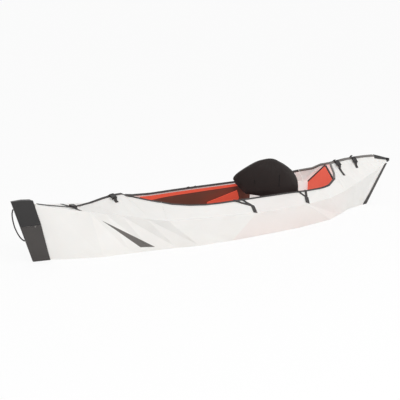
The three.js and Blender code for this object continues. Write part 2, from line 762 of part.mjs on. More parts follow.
// The hood is the same shell under a thick roof that follows the crease below it
function bowHood() {
  const levels = capRings({
    edge: HOOD_EDGE_SHARES, nose: BOW_NOSE_SHARES, foot: bowFoot, tip: bowTip,
    room: HOOD_ROOM, wall: HOOD_WALL,
  });
  const outerRings = levels.map(({ outer, z }, k) => {
    const port = outer.map(([x, y], i) => {
      const roof = k === levels.length - 1 && i > 0;
      const reach = roof ? noseAt(BOW_NOSE_SHARES, BOW_HEIGHT) - noseAt(BOW_NOSE_SHARES, z) : 0;
      return new THREE.Vector3(x + reach, y, roof ? BOW_HEIGHT : z);
    });
    return [...port, ...[...port].reverse().map(mirrored)];
  });
  const underside = (x) => alongRail(chineSheer(1), x).z + HOOD_ROOM;
  const innerRings = levels.map(({ inner, z }, k) => {
    const port = inner.map(([x, y], i) => {
      const back = i === 0 ? x - HOOD_ROOF : x;
      const slope = (y - inner[1][1]) / (inner[1][0] - inner[0][0]);
      const side = i === 0 ? y + slope * HOOD_ROOF : y;
      const level = k === levels.length - 1 ? underside(x) : z - (k === 0 ? HOOD_ROOF : 0);
      return new THREE.Vector3(back, side, level);
    });
    return [...port, ...[...port].reverse().map(mirrored)];
  });
  const outer = sweep(outerRings, fanSection(outerRings[0].length));
  const inner = sweep(innerRings, fanSection(innerRings[0].length));
  return cut(outer, inner);
}
addMesh('bow_hood', bowHood(), 'hood');

// The stern plate is a ridge-shaped cover over the peak panels with a block at the tip
function sternPlate() {
  const [start, end] = STERN_PLATE_SHARES.map((share) => share * HALF_LENGTH);
  const rings = [start, (start + end) / 2, end].map((x, k) => {
    const ridge = alongRail(peakRidge, x);
    const crease = alongRail([peakCrease, peakEnd, sternTip], Math.max(x, peakEnd.x));
    const down = crease.clone().sub(ridge).setX(0).normalize();
    const normal = new THREE.Vector3(0, -down.z, down.y);
    const reach = STERN_PLATE_REACH + (STERN_PLATE_REACH_END - STERN_PLATE_REACH) * (k / 2);
    const side = (lift) => ridge.clone().addScaledVector(down, reach).addScaledVector(normal, lift);
    const top = (lift) => ridge.clone().setZ(ridge.z + lift / normal.z);
    const under = 2 * GAP;
    const over = under + STERN_PLATE_WALL;
    return [side(over), top(over), mirrored(side(over)), mirrored(side(under)), top(under), side(under)];
  });
  const section = [[0, 1, 4], [0, 4, 5], [1, 2, 3], [1, 3, 4]];
  const blockRings = [1, -1].map((sense) => STERN_BLOCK_SHARES.map((share) => (
    point([share[0], 0, share[1]]).setY(sense * NOSE_SHOULDER)
  )));
  return join([sweep(rings, section), sweep(blockRings, BOX_SECTION)]);
}
addMesh('stern_deck_cap', sternPlate(), 'hood');

// Bow carry loop: a bowed cord between two points on the nose
function carryLoop() {
  const [high, low] = LOOP_END_SHARES.map((share) => {
    const z = share * BOW_HEIGHT;
    return new THREE.Vector3(noseAt(BOW_NOSE_SHARES, z) + LOOP_RADIUS + 2 * GAP, 0, z);
  });
  const along = low.clone().sub(high);
  const forward = new THREE.Vector3(-along.z, 0, along.x).normalize();
  const forms = [[0, 0], [0.12, 0.55], [0.5, 1], [0.88, 0.55], [1, 0]];
  const limit = HALF_LENGTH - LOOP_RADIUS - GAP;
  const route = forms.map(([share, bulge]) => {
    const place = high.clone().addScaledVector(along, share).addScaledVector(forward, bulge * LOOP_BULGE);
    return place.setX(Math.min(place.x, limit));
  });
  const shape = new THREE.Shape();
  shape.absarc(0, 0, LOOP_RADIUS, 0, 2 * Math.PI);
  return new THREE.ExtrudeGeometry(shape, {
    steps: LOOP_STEPS,
    curveSegments: LOOP_SIDES / 2,
    bevelEnabled: false,
    extrudePath: new THREE.CatmullRomCurve3(route),
  });
}
addMesh('bow_carry_loop', carryLoop(), 'webbing');

// Height of the outer skin; between a flap's edge and the centre plane it runs on straight
function skinHeight(x, y) {
  const height = deckHeight(x, Math.abs(y));
  if (height !== undefined) {
    return height;
  }
  const beside = x < gunwaleRail[0].x && x > gunwaleRail[gunwaleRail.length - 1].x;
  const seamRails = x > 0 ? [foreSeam, foreHinge] : [aftSeam, aftHinge];
  const [rail, hinge] = beside ? [gunwaleRail, sheerRail] : seamRails;
  const edge = alongRail(rail, x);
  const crease = alongRail(hinge, x);
  return edge.z + (edge.y - Math.abs(y)) * (edge.z - crease.z) / (crease.y - edge.y);
}

// Webbing draped over the deck: each station is [x, y, lift off the skin]
function drapedStrap(stations, width, endRings = []) {
  const fine = [stations[0]];
  stations.slice(1).forEach((station, k) => {
    const from = stations[k];
    const run = Math.hypot(station[0] - from[0], station[1] - from[1]);
    const steps = Math.max(Math.ceil(run / STRAP_STEP), 1);
    for (let step = 1; step <= steps; step += 1) {
      fine.push(from.map((value, i) => value + (station[i] - value) * (step / steps)));
    }
  });
  const rings = fine.map(([x, y, lift], k) => {
    const before = fine[Math.max(k - 1, 0)];
    const after = fine[Math.min(k + 1, fine.length - 1)];
    const run = Math.hypot(after[0] - before[0], after[1] - before[1]);
    const across = [(before[1] - after[1]) / run, (after[0] - before[0]) / run];
    const slope = (skinHeight(x, y + Math.sign(y) * GAP) - skinHeight(x, y)) / GAP;
    const steep = Math.hypot(1, slope);
    const edges = [-width / 2, width / 2].map((side) => [x + across[0] * side, y + across[1] * side]);
    const [left, right] = edges.map((place) => skinHeight(...place));
    const ridge = Math.max(skinHeight(x, y) - (left + right) / 2, 0) + lift * steep;
    const under = [left, right].map((height, i) => new THREE.Vector3(...edges[i], height + ridge));
    const over = under.map((edge) => edge.clone().setZ(edge.z + WEBBING * steep));
    return [under[0], under[1], over[1], over[0]];
  });
  return sweep([...rings, ...endRings], BOX_SECTION);
}

// Deck straps across the seams

function strapFrame(strap) {
  const x = strap.x * HALF_LENGTH;
  const rail = strap.end === 'fore' ? foreSeam : aftSeam;
  const hinge = strap.end === 'fore' ? foreHinge : aftHinge;
  const edge = alongRail(rail, x);
  const crease = alongRail(hinge, x);
  const ahead = alongRail(rail, x + BUCKLE_WIDTH / 2);
  const tangent = ahead.sub(alongRail(rail, x - BUCKLE_WIDTH / 2)).normalize();
  const normal = tangent.clone().cross(crease.sub(edge)).normalize();
  const down = normal.clone().cross(tangent);
  return { x, edge, down, normal, tangent };
}

// Buckle halves are drawn flat, seam at the origin, U down the flap and V up, then laid on it
function laidOnFlap(geometry, { edge, down, normal, tangent }) {
  const seat = edge.clone().addScaledVector(normal, CHANNEL_LIFT + WEBBING + GAP);
  const basis = new THREE.Matrix4().makeBasis(tangent, down, normal).setPosition(seat);
  return geometry.applyMatrix4(basis);
}

function buckleSocket() {
  const shell = box(
    [-BUCKLE_WIDTH / 2, PLUG_BASE, 0],
    [BUCKLE_WIDTH / 2, PLUG_BASE + SOCKET_LENGTH, BUCKLE_HEIGHT],
  );
  const pocket = box(
    [-BUCKLE_WIDTH / 2 + BUCKLE_WALL, PLUG_BASE - BUCKLE_WALL, BUCKLE_WALL],
    [BUCKLE_WIDTH / 2 - BUCKLE_WALL, PLUG_BASE + SOCKET_POCKET, BUCKLE_HEIGHT - BUCKLE_WALL],
  );
  const slotStart = PLUG_BASE + SOCKET_POCKET + BUCKLE_WALL;
  const slot = box(
    [-WEBBING_WIDTH / 2 - GAP, slotStart, -BUCKLE_WALL],
    [WEBBING_WIDTH / 2 + GAP, slotStart + PLUG_SLOT, BUCKLE_HEIGHT + BUCKLE_WALL],
  );
  return cut(cut(shell, pocket), slot);
}

function bucklePlug() {
  const half = BUCKLE_WIDTH / 2;
  const reach = half - BUCKLE_WALL - GAP;
  const tip = PLUG_BASE + PRONG_LENGTH;
  const inner = reach - PRONG_WIDTH;
  const tongue = PRONG_WIDTH / 2;
  const root = PLUG_BASE - BUCKLE_WALL;
  const shape = new THREE.Shape();
  shape.moveTo(-reach, root);
  shape.lineTo(reach, root);
  shape.lineTo(reach, tip - PRONG_WIDTH);
  shape.lineTo(inner, tip);
  shape.lineTo(inner, PLUG_BASE);
  shape.lineTo(tongue, PLUG_BASE);
  shape.lineTo(tongue, tip - PRONG_WIDTH);
  shape.lineTo(-tongue, tip - PRONG_WIDTH);
  shape.lineTo(-tongue, PLUG_BASE);
  shape.lineTo(-inner, PLUG_BASE);
  shape.lineTo(-inner, tip);
  shape.lineTo(-reach, tip - PRONG_WIDTH);
  const depth = BUCKLE_HEIGHT - 2 * (BUCKLE_WALL + GAP);
  const fork = new THREE.ExtrudeGeometry(shape, { depth, bevelEnabled: false })
    .translate(0, 0, BUCKLE_WALL + GAP);
  const base = box([-half, 0, 0], [half, PLUG_BASE - GAP, BUCKLE_HEIGHT]);
  const slot = box(
    [-WEBBING_WIDTH / 2 - GAP, BUCKLE_WALL, -BUCKLE_WALL],
    [WEBBING_WIDTH / 2 + GAP, BUCKLE_WALL + PLUG_SLOT, BUCKLE_HEIGHT + BUCKLE_WALL],
  );
  return join([cut(base, slot), fork]);
}

// The port webbing rises to the socket's end
function portWebbing(strap, { x, edge, down, normal, tangent }) {
  const length = PLUG_BASE + SOCKET_LENGTH;
  const stations = [
    [x, strap.reach * HALF_BEAM, WEBBING_LIFT],
    [x, edge.y + (length + STRAP_RISE) * down.y, WEBBING_LIFT],
  ];
  const lift = CHANNEL_LIFT + WEBBING + GAP + BUCKLE_HEIGHT / 2;
  const end = edge.clone().addScaledVector(down, length + GAP).addScaledVector(normal, lift);
  const endRing = [[-1, 0], [1, 0], [1, 1], [-1, 1]].map(([side, over]) => (
    end.clone().addScaledVector(tangent, side * WEBBING_WIDTH / 2).addScaledVector(normal, over * WEBBING)
  ));
  return drapedStrap(stations, WEBBING_WIDTH, [endRing]);
}

// The starboard webbing crosses its channel up to the seam, under the plug
function starboardWebbing(strap, { x, edge, down }) {
  const clear = edge.y + (CHANNEL_DEPTH + WEBBING_WIDTH / 2) * down.y;
  const onto = edge.y + (CHANNEL_DEPTH + WEBBING_WIDTH / 8) * down.y;
  const places = [
    [strap.reach * HALF_BEAM, WEBBING_LIFT], [clear, WEBBING_LIFT], [onto, CHANNEL_LIFT], [GAP, CHANNEL_LIFT],
  ];
  return drapedStrap(places.map(([y, lift]) => [x, -y, lift]), WEBBING_WIDTH);
}

for (const strap of DECK_STRAP_SHARES) {
  const frame = strapFrame(strap);
  const label = `${strap.end}_strap_${strap.number}`;
  addMesh(`${label}_port_webbing`, portWebbing(strap, frame), 'webbing');
  addMesh(`${label}_starboard_webbing`, starboardWebbing(strap, frame), 'webbing');
  addMesh(`${label}_buckle_socket`, laidOnFlap(buckleSocket(), frame), 'buckle');
  addMesh(`${label}_buckle_plug`, laidOnFlap(bucklePlug(), frame), 'buckle');
}

// Side straps: a tab from the sheer crease, then thin straps over the gunwale
function onDeck(x, share) {
  return alongRail(sheerRail, x).lerp(alongRail(gunwaleRail, x), share);
}

function sideStrap(strap) {
  const foot = onDeck(strap.tab * HALF_LENGTH, TAB_FOOT_SHARE);
  const joint = onDeck(strap.joint * HALF_LENGTH, strap.joint_share);
  const head = [joint.x, joint.y, WEBBING_LIFT];
  const tab = drapedStrap([[foot.x, foot.y, WEBBING_LIFT], head], TAB_WIDTH);
  const straps = strap.ends.map((share) => {
    const edge = alongRail(gunwaleRail, share * HALF_LENGTH);
    const run = new THREE.Vector3(edge.x - joint.x, edge.y - joint.y, 0);
    const back = (length) => edge.clone().addScaledVector(run, length / run.y);
    const onto = back(CHANNEL_DEPTH + THIN_STRAP_WIDTH / 2);
    const clear = back(CHANNEL_DEPTH + THIN_STRAP_WIDTH);
    const start = joint.clone().addScaledVector(run, -THIN_STRAP_WIDTH / 2 / run.length());
    const stations = [
      [start.x, start.y, WEBBING_LIFT], [clear.x, clear.y, WEBBING_LIFT],
      [onto.x, onto.y, CHANNEL_LIFT], [edge.x, edge.y + THIN_STRAP_WIDTH * TAB_FOOT_SHARE, CHANNEL_LIFT],
    ];
    return drapedStrap(stations, THIN_STRAP_WIDTH);
  });
  return join([tab, ...straps]);
}

for (const strap of SIDE_STRAP_SHARES) {
  addPair(`${strap.end}_side_strap`, sideStrap(strap), 'webbing');
}

// Floorboard inside the bottom
function floorboardEdge(share) {
  return alongRail(chine, share * HALF_LENGTH).y - FLOORBOARD_MARGIN;
}

function floorboard() {
  const port = FLOORBOARD_SHARES.map((share) => [share * HALF_LENGTH, floorboardEdge(share)]);
  const outline = [...port, ...[...port].reverse().map(([x, y]) => [x, -y])];
  const shape = new THREE.Shape(outline.map(([x, y]) => new THREE.Vector2(x, y)));
  return new THREE.ExtrudeGeometry(shape, { depth: FLOORBOARD, bevelEnabled: false })
    .translate(0, 0, SHEET + GAP);
}

// A seat wing stands up from the floorboard's edge and leans in over the seat
function seatWing(sense) {
  const rootZ = SHEET + GAP + FLOORBOARD / 2;
  const places = WING_SHARES.map(([x, z]) => new THREE.Vector2(
    x * HALF_LENGTH, rootZ + z * (WING_HEIGHT - rootZ),
  ));
  const lean = sense * WING_LEAN / WING_HEIGHT;
  const reach = Math.min(...WING_SHARES.map(([share]) => floorboardEdge(share))) - WING_MARGIN;
  const root = sense > 0 ? reach : FLOORBOARD - reach;
  const outline = new THREE.Shape(places);
  return new THREE.ExtrudeGeometry(outline, { depth: FLOORBOARD, bevelEnabled: false })
    .rotateX(Math.PI / 2)
    .translate(0, root + rootZ * lean, 0)
    .applyMatrix4(new THREE.Matrix4().makeShear(0, 0, 0, 0, 0, -lean));
}
addMesh('floorboard', join([floorboard(), seatWing(1), seatWing(-1)]), 'board');

// Liner walls close the cockpit's sides from the floor to the gunwale
function linerWall() {
  const rings = LINER_SHARES.map((share) => {
    const x = share * HALF_LENGTH;
    const low = alongRail(chine, x);
    const high = alongRail(gunwaleRail, x);
    const foot = low.y - LINER_FOOT_INSET;
    const head = high.y - LINER_TOP_INSET;
    const bottomZ = SHEET + GAP;
    const topZ = high.z - LINER_TOP_DROP;
    return [
      new THREE.Vector3(x, foot, bottomZ),
      new THREE.Vector3(x, head, topZ),
      new THREE.Vector3(x, head - LINER, topZ),
      new THREE.Vector3(x, foot - LINER, bottomZ),
    ];
  });
  return sweep(rings, BOX_SECTION);
}
addPair('liner_wall', linerWall(), 'orange');

// Bulkheads stand on the bottom and fold down towards the seat
function bulkhead(outlineShares, leanDegrees) {
  const port = outlineShares.map(([y, z]) => [y * HALF_BEAM, z * BOW_HEIGHT]);
  const foot = [[port[0][0], 0], ...port];
  const outline = [...foot, ...[...foot].reverse().map(([y, z]) => [-y, z])];
  const shape = new THREE.Shape(outline.map(([y, z]) => new THREE.Vector2(y, z)));
  const panel = new THREE.ExtrudeGeometry(shape, { depth: BULKHEAD, bevelEnabled: false });
  panel.rotateX(Math.PI / 2).rotateZ(Math.PI / 2);
  panel.rotateY(THREE.MathUtils.degToRad(-leanDegrees));
  return panel;
}

function standOn(geometry, x) {
  geometry.computeBoundingBox();
  return geometry.translate(x, 0, SHEET + GAP - geometry.boundingBox.min.z);
}

const footBrace = standOn(bulkhead(FOOT_BRACE_OUTLINE_SHARES, 0), FOOT_BRACE_SHARE * HALF_LENGTH);
addMesh('foot_brace', footBrace, 'orange');
const rearBulkhead = bulkhead(REAR_BULKHEAD_OUTLINE_SHARES, BULKHEAD_LEAN);
addMesh('rear_bulkhead', standOn(rearBulkhead, REAR_BULKHEAD_SHARE * HALF_LENGTH), 'orange');

// Cushion between two faces of a grid: front(u, v) and back(u, v), with u and v from -1 to 1
function cushion(front, back, stepsU, stepsV) {
  const grid = (face) => Array.from({ length: stepsU + 1 }, (_, i) => (
    Array.from({ length: stepsV + 1 }, (__, j) => face(2 * i / stepsU - 1, 2 * j / stepsV - 1))
  ));
  const [fore, rear] = [grid(front), grid(back)];
  const triangles = [];
  const quad = (a, b, c, d) => triangles.push([a, b, c], [a, c, d]);
  for (let i = 0; i < stepsU; i += 1) {
    for (let j = 0; j < stepsV; j += 1) {
      quad(fore[i][j], fore[i + 1][j], fore[i + 1][j + 1], fore[i][j + 1]);
      quad(rear[i][j], rear[i][j + 1], rear[i + 1][j + 1], rear[i + 1][j]);
    }
    quad(rear[i][0], rear[i + 1][0], fore[i + 1][0], fore[i][0]);
    quad(fore[i][stepsV], fore[i + 1][stepsV], rear[i + 1][stepsV], rear[i][stepsV]);
  }
  for (let j = 0; j < stepsV; j += 1) {
    quad(fore[0][j], fore[0][j + 1], rear[0][j + 1], rear[0][j]);
    quad(rear[stepsU][j], rear[stepsU][j + 1], fore[stepsU][j + 1], fore[stepsU][j]);
  }
  return bodyFrom(triangles);
}

function crown(u, v) {
  return Math.sqrt(Math.max((1 - u ** 4) * (1 - v ** 4), 0));
}

const CHANNEL_PLACES_SHARE = [-0.4, 0.1, 0.6];
const CHANNEL_SPAN_SHARE = 0.09;
const CUSHION_U_STEPS = 20;
const CUSHION_V_STEPS = 16;
const CORNER_DRAW_SHARE = 0.09;

function channelDip(place, across) {
  const near = Math.max(...CHANNEL_PLACES_SHARE.map((share) => (
    Math.max(1 - Math.abs(place - share) / CHANNEL_SPAN_SHARE, 0)
  )));
  return near * Math.sqrt(Math.max(1 - across ** 4, 0));
}

function seatPad() {
  const front = SEAT_FRONT_SHARE * HALF_LENGTH;
  const middle = front - SEAT_LENGTH / 2;
  const place = (u, v, z) => new THREE.Vector3(
    middle + u * (SEAT_LENGTH / 2) * (1 - CORNER_DRAW_SHARE * v ** 4),
    v * (SEAT_WIDTH / 2) * (1 - CORNER_DRAW_SHARE * u ** 4),
    z,
  );
  const top = (u, v) => {
    const swell = SEAT_EDGE + (SEAT_THICKNESS - SEAT_EDGE) * crown(u, v);
    return place(u, v, SEAT_FLOOR + swell - SEAT_CHANNEL * channelDip(u, v));
  };
  const under = (u, v) => place(u, v, SEAT_FLOOR);
  return cushion(top, under, CUSHION_U_STEPS, CUSHION_V_STEPS);
}
addMesh('seat_pad', seatPad(), 'pad');

// The backrest wraps round the paddler: a dome-shaped pad bent forward at both sides
const BACK_DOME_SHARE = 0.52;
const BACK_FOOT_SHARE = 0.61;
const BACK_WING_SHARE = 0.75;

function backrestPad() {
  const backX = BACK_SHARE * HALF_LENGTH;
  const face = (sense) => (u, v) => {
    const height = (v + 1) / 2;
    const dome = 1 - BACK_DOME_SHARE * Math.abs(u) ** 3;
    const rise = BACK_BOTTOM + BACK_HEIGHT * height * dome;
    const flare = 1 - Math.cos((Math.PI / 2) * Math.min(height / BACK_WING_SHARE, 1));
    const width = BACK_FOOT_SHARE + (1 - BACK_FOOT_SHARE) * flare;
    const y = u * (BACK_WIDTH / 2) * width;
    const wrap = BACK_WRAP * (u * width) ** 2;
    const half = BACK_EDGE / 2 + ((BACK_THICKNESS - BACK_EDGE) / 2) * crown(u, v);
    const lean = sense * half;
    return new THREE.Vector3(backX + wrap + lean, y, rise);
  };
  return cushion(face(1), face(-1), CUSHION_U_STEPS, CUSHION_V_STEPS);
}
addMesh('backrest_pad', backrestPad(), 'pad');

// The board's toe is round, so that it tilts on the floorboard
function backrestBoard() {
  const faceX = BACK_SHARE * HALF_LENGTH - BACK_THICKNESS / 2 - GAP;
  const footX = SEAT_FRONT_SHARE * HALF_LENGTH - SEAT_LENGTH - BACK_FOOT_ROOM;
  const radius = BACK_BOARD / 2;
  const toe = Array.from({ length: BACK_TOE_STEPS + 1 }, (_, k) => {
    const angle = Math.PI * (1 + k / BACK_TOE_STEPS);
    return [footX - radius + radius * Math.cos(angle), SEAT_FLOOR + radius + radius * Math.sin(angle)];
  });
  const front = [[faceX, BACK_BOARD_KNEE], [faceX, BACK_BOARD_TOP]];
  const back = [...front].reverse().map(([x, z]) => [x - BACK_BOARD, z]);
  const shape = new THREE.Shape([...toe, ...front, ...back].map(([x, z]) => new THREE.Vector2(x, z)));
  const board = new THREE.ExtrudeGeometry(shape, { depth: BACK_BOARD_WIDTH, bevelEnabled: false });
  return board.rotateX(Math.PI / 2).translate(0, BACK_BOARD_WIDTH / 2, 0);
}
addMesh('backrest_board', backrestBoard(), 'board');

export default kayak;
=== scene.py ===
# %% [markdown]
# ## Folding kayak
# The real boat is one creased sheet of twin-wall plastic, folded up and held shut along its two deck seams.
# The frame holds its solids at their real size. This notebook gives them their finish, puts soft pads in the
# place of the plain ones, and adds the small things that are only skin deep: creases, piping, rivets, edging.

# %% Load the frame
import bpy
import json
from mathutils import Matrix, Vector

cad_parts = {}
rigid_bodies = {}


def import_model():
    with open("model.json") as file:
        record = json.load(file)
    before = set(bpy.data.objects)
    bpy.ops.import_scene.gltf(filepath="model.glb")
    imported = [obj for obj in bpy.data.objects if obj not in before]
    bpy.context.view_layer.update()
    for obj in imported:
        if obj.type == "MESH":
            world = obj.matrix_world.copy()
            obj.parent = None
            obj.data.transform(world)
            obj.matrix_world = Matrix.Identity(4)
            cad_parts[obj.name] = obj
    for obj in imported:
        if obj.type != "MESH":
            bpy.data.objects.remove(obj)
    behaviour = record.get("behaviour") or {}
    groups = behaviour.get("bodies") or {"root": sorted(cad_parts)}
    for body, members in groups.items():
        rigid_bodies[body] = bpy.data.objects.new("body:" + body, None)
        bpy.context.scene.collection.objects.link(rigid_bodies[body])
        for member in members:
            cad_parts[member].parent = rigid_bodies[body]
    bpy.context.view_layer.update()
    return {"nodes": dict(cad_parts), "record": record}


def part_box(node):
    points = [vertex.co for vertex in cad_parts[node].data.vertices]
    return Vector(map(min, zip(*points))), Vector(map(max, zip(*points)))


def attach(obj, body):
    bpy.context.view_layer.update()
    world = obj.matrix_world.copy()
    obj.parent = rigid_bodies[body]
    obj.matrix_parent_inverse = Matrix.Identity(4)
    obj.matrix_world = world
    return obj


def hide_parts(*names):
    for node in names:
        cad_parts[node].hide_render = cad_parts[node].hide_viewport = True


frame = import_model()

# %% Blender's modules and the scene's view
import json
import math

import bpy
from mathutils import Euler, Vector
from mathutils.bvhtree import BVHTree

bpy.context.scene.view_settings.view_transform = "Standard"
SIDES = ("port", "starboard")
MM = 0.001

# %% [markdown]
# ### The camera
# The picture is taken from off the port bow, a little above the deck, with a long lens. A long lens flattens
# the hull, so the camera is far away: 7.6 m from the middle of the boat. The lens is written as the focal
# length in picture widths, which is how it was found, and Blender's sensor width turns that into millimetres.

# %% Camera
CAMERA_PLACE = (4.478, 5.940, 1.820)
CAMERA_YAW = -2.199
CAMERA_PITCH = -0.216
FOCAL_PICTURE_WIDTHS = 3.001
STARTING_OBJECTS = ("Cube", "Light", "Camera")

for spare in [item for item in bpy.data.objects if item.name in STARTING_OBJECTS]:
    bpy.data.objects.remove(spare)


def add_object(name, data):
    made = bpy.data.objects.new(name, data)
    bpy.context.scene.collection.objects.link(made)
    return made


def add_camera():
    data = bpy.data.cameras.new("camera")
    data.lens = FOCAL_PICTURE_WIDTHS * data.sensor_width
    made = add_object("camera", data)
    made.location = CAMERA_PLACE
    made.rotation_euler = Euler((math.pi / 2 + CAMERA_PITCH, 0, CAMERA_YAW - math.pi / 2))
    bpy.context.scene.camera = made
    return made


camera = add_camera()
print("camera lens:", round(camera.data.lens, 1), "mm")

# %% [markdown]
# ### Wiring helpers
# Every finish below is a small node tree. Four helpers keep the wiring readable: one adds a node and sets its
# values, one joins a list of socket pairs, one makes a node group with named inputs and outputs, and one
# places such a group. A group is built once, then placed in each material that needs it, with its own values.

# %% Node helpers
def node(tree, kind, values=None, **settings):
    made = tree.nodes.new(kind)
    for key, value in settings.items():
        setattr(made, key, value)
    for socket, value in (values or {}).items():
        made.inputs[socket].default_value = value
    return made


def wire(tree, *pairs):
    for source, target in pairs:
        tree.links.new(source, target)


def group(name, inputs, outputs):
    """Make a node group from inputs of (name, kind, default) and outputs of (name, kind)."""
    tree = bpy.data.node_groups.new(name, "ShaderNodeTree")
    for label, kind, default in inputs:
        socket = tree.interface.new_socket(label, in_out="INPUT", socket_type=kind)
        socket.default_value = default
    for label, kind in outputs:
        tree.interface.new_socket(label, in_out="OUTPUT", socket_type=kind)
    return tree, tree.nodes.new("NodeGroupInput"), tree.nodes.new("NodeGroupOutput")


def place(tree, shared, **values):
    made = node(tree, "ShaderNodeGroup", node_tree=shared)
    for socket, value in values.items():
        made.inputs[socket].default_value = value
    return made


FLOAT, COLOUR, VECTOR = "NodeSocketFloat", "NodeSocketColor", "NodeSocketVector"

# %% [markdown]
# ### Flutes
# Twin-wall sheet is two skins with ribs between them, one rib every few millimetres, running along the boat.
# They catch the light as fine parallel lines. The lines must follow each facet, flat deck and steep side
# alike, so the pattern measures how far a point lies across the ribs: the cross product of the boat's long
# axis with the facet's normal points that way, and the dot product with the place gives the distance.

# %% Flutes group
RIB_SHARE = 0.22


def flutes_group():
    tree, given, result = group(
        "flutes", [("Pitch", FLOAT, 0.005), ("Depth", FLOAT, 0.3)], [("Rib", FLOAT), ("Normal", VECTOR)])
    place_on = node(tree, "ShaderNodeTexCoord")
    across = node(tree, "ShaderNodeVectorMath", operation="CROSS_PRODUCT", values={0: (1, 0, 0)})
    distance = node(tree, "ShaderNodeVectorMath", operation="DOT_PRODUCT")
    turns = node(tree, "ShaderNodeMath", operation="DIVIDE")
    saw = node(tree, "ShaderNodeMath", operation="PINGPONG", values={1: 0.5})
    rib = node(tree, "ShaderNodeMapRange", interpolation_type="SMOOTHSTEP",
               values={"From Max": RIB_SHARE, "To Min": 1.0, "To Max": 0.0})
    bump = node(tree, "ShaderNodeBump", values={"Distance": 0.0004})
    wire(tree, (place_on.outputs["Normal"], across.inputs[1]), (across.outputs[0], distance.inputs[0]),
         (place_on.outputs["Object"], distance.inputs[1]), (distance.outputs["Value"], turns.inputs[0]),
         (given.outputs["Pitch"], turns.inputs[1]), (turns.outputs[0], saw.inputs[0]),
         (saw.outputs[0], rib.inputs[0]), (rib.outputs[0], bump.inputs["Height"]),
         (given.outputs["Depth"], bump.inputs["Strength"]), (rib.outputs[0], result.inputs["Rib"]),
         (bump.outputs[0], result.inputs["Normal"]))
    return tree


flutes = flutes_group()
print("group:", flutes.name)

# %% [markdown]
# ### Grain
# Moulded plastic and rubber come out of a mould that was etched, which leaves a fine random grain. A noise a
# millimetre or so across gives the bump, and a second, broad noise gives the handled look: patches that are a
# little more worn and so a little smoother.

# %% Grain group
WEAR_SWING = 0.07


def grain_group():
    tree, given, result = group(
        "grain", [("Size", FLOAT, 0.0015), ("Depth", FLOAT, 0.3), ("Roughness", FLOAT, 0.5)],
        [("Roughness", FLOAT), ("Patches", FLOAT), ("Normal", VECTOR)])
    place_on = node(tree, "ShaderNodeTexCoord")
    scale = node(tree, "ShaderNodeMath", operation="DIVIDE", values={0: 1.0})
    fine = node(tree, "ShaderNodeTexNoise", values={"Detail": 2.0})
    broad = node(tree, "ShaderNodeTexNoise", values={"Scale": 9.0, "Detail": 3.0})
    bump = node(tree, "ShaderNodeBump", values={"Distance": 0.0003})
    swing = node(tree, "ShaderNodeMapRange",
                 values={"From Min": 0.3, "From Max": 0.7, "To Min": -WEAR_SWING, "To Max": WEAR_SWING})
    total = node(tree, "ShaderNodeMath", operation="ADD")
    wire(tree, (place_on.outputs["Object"], fine.inputs["Vector"]),
         (place_on.outputs["Object"], broad.inputs["Vector"]),
         (given.outputs["Size"], scale.inputs[1]), (scale.outputs[0], fine.inputs["Scale"]),
         (fine.outputs[0], bump.inputs["Height"]), (given.outputs["Depth"], bump.inputs["Strength"]),
         (broad.outputs[0], swing.inputs[0]), (given.outputs["Roughness"], total.inputs[0]),
         (swing.outputs[0], total.inputs[1]), (total.outputs[0], result.inputs["Roughness"]),
         (broad.outputs[0], result.inputs["Patches"]), (bump.outputs[0], result.inputs["Normal"]))
    return tree


grain = grain_group()
print("group:", grain.name)

# %% [markdown]
# ### Weave
# Webbing and the pads' cover are woven. The straps lie at every angle, so the weave can't lean on one
# direction: three sine waves, one along each axis, cross on any face and leave a pattern of small knuckles.

# %% Weave group
WAVE_REACH = 1.6


def weave_group():
    tree, given, result = group(
        "weave", [("Pitch", FLOAT, 0.002), ("Depth", FLOAT, 0.5)], [("Knuckle", FLOAT), ("Normal", VECTOR)])
    place_on = node(tree, "ShaderNodeTexCoord")
    turn = node(tree, "ShaderNodeMath", operation="DIVIDE", values={0: 2 * math.pi})
    phase = node(tree, "ShaderNodeVectorMath", operation="SCALE")
    waves = node(tree, "ShaderNodeVectorMath", operation="SINE")
    sum_up = node(tree, "ShaderNodeVectorMath", operation="DOT_PRODUCT", values={1: (1, 1, 1)})
    knuckle = node(tree, "ShaderNodeMapRange", values={"From Min": -WAVE_REACH, "From Max": WAVE_REACH})
    bump = node(tree, "ShaderNodeBump", values={"Distance": 0.0006})
    wire(tree, (given.outputs["Pitch"], turn.inputs[1]), (place_on.outputs["Object"], phase.inputs[0]),
         (turn.outputs[0], phase.inputs["Scale"]), (phase.outputs[0], waves.inputs[0]),
         (waves.outputs[0], sum_up.inputs[0]), (sum_up.outputs["Value"], knuckle.inputs[0]),
         (knuckle.outputs[0], bump.inputs["Height"]), (given.outputs["Depth"], bump.inputs["Strength"]),
         (knuckle.outputs[0], result.inputs["Knuckle"]), (bump.outputs[0], result.inputs["Normal"]))
    return tree


weave = weave_group()
print("group:", weave.name)

# %% [markdown]
# ### Tone
# No surface has one flat colour. This group swings a base colour towards a second one by a broad noise and by
# a mask that the material brings, such as the ribs of the sheet or the knuckles of the weave.

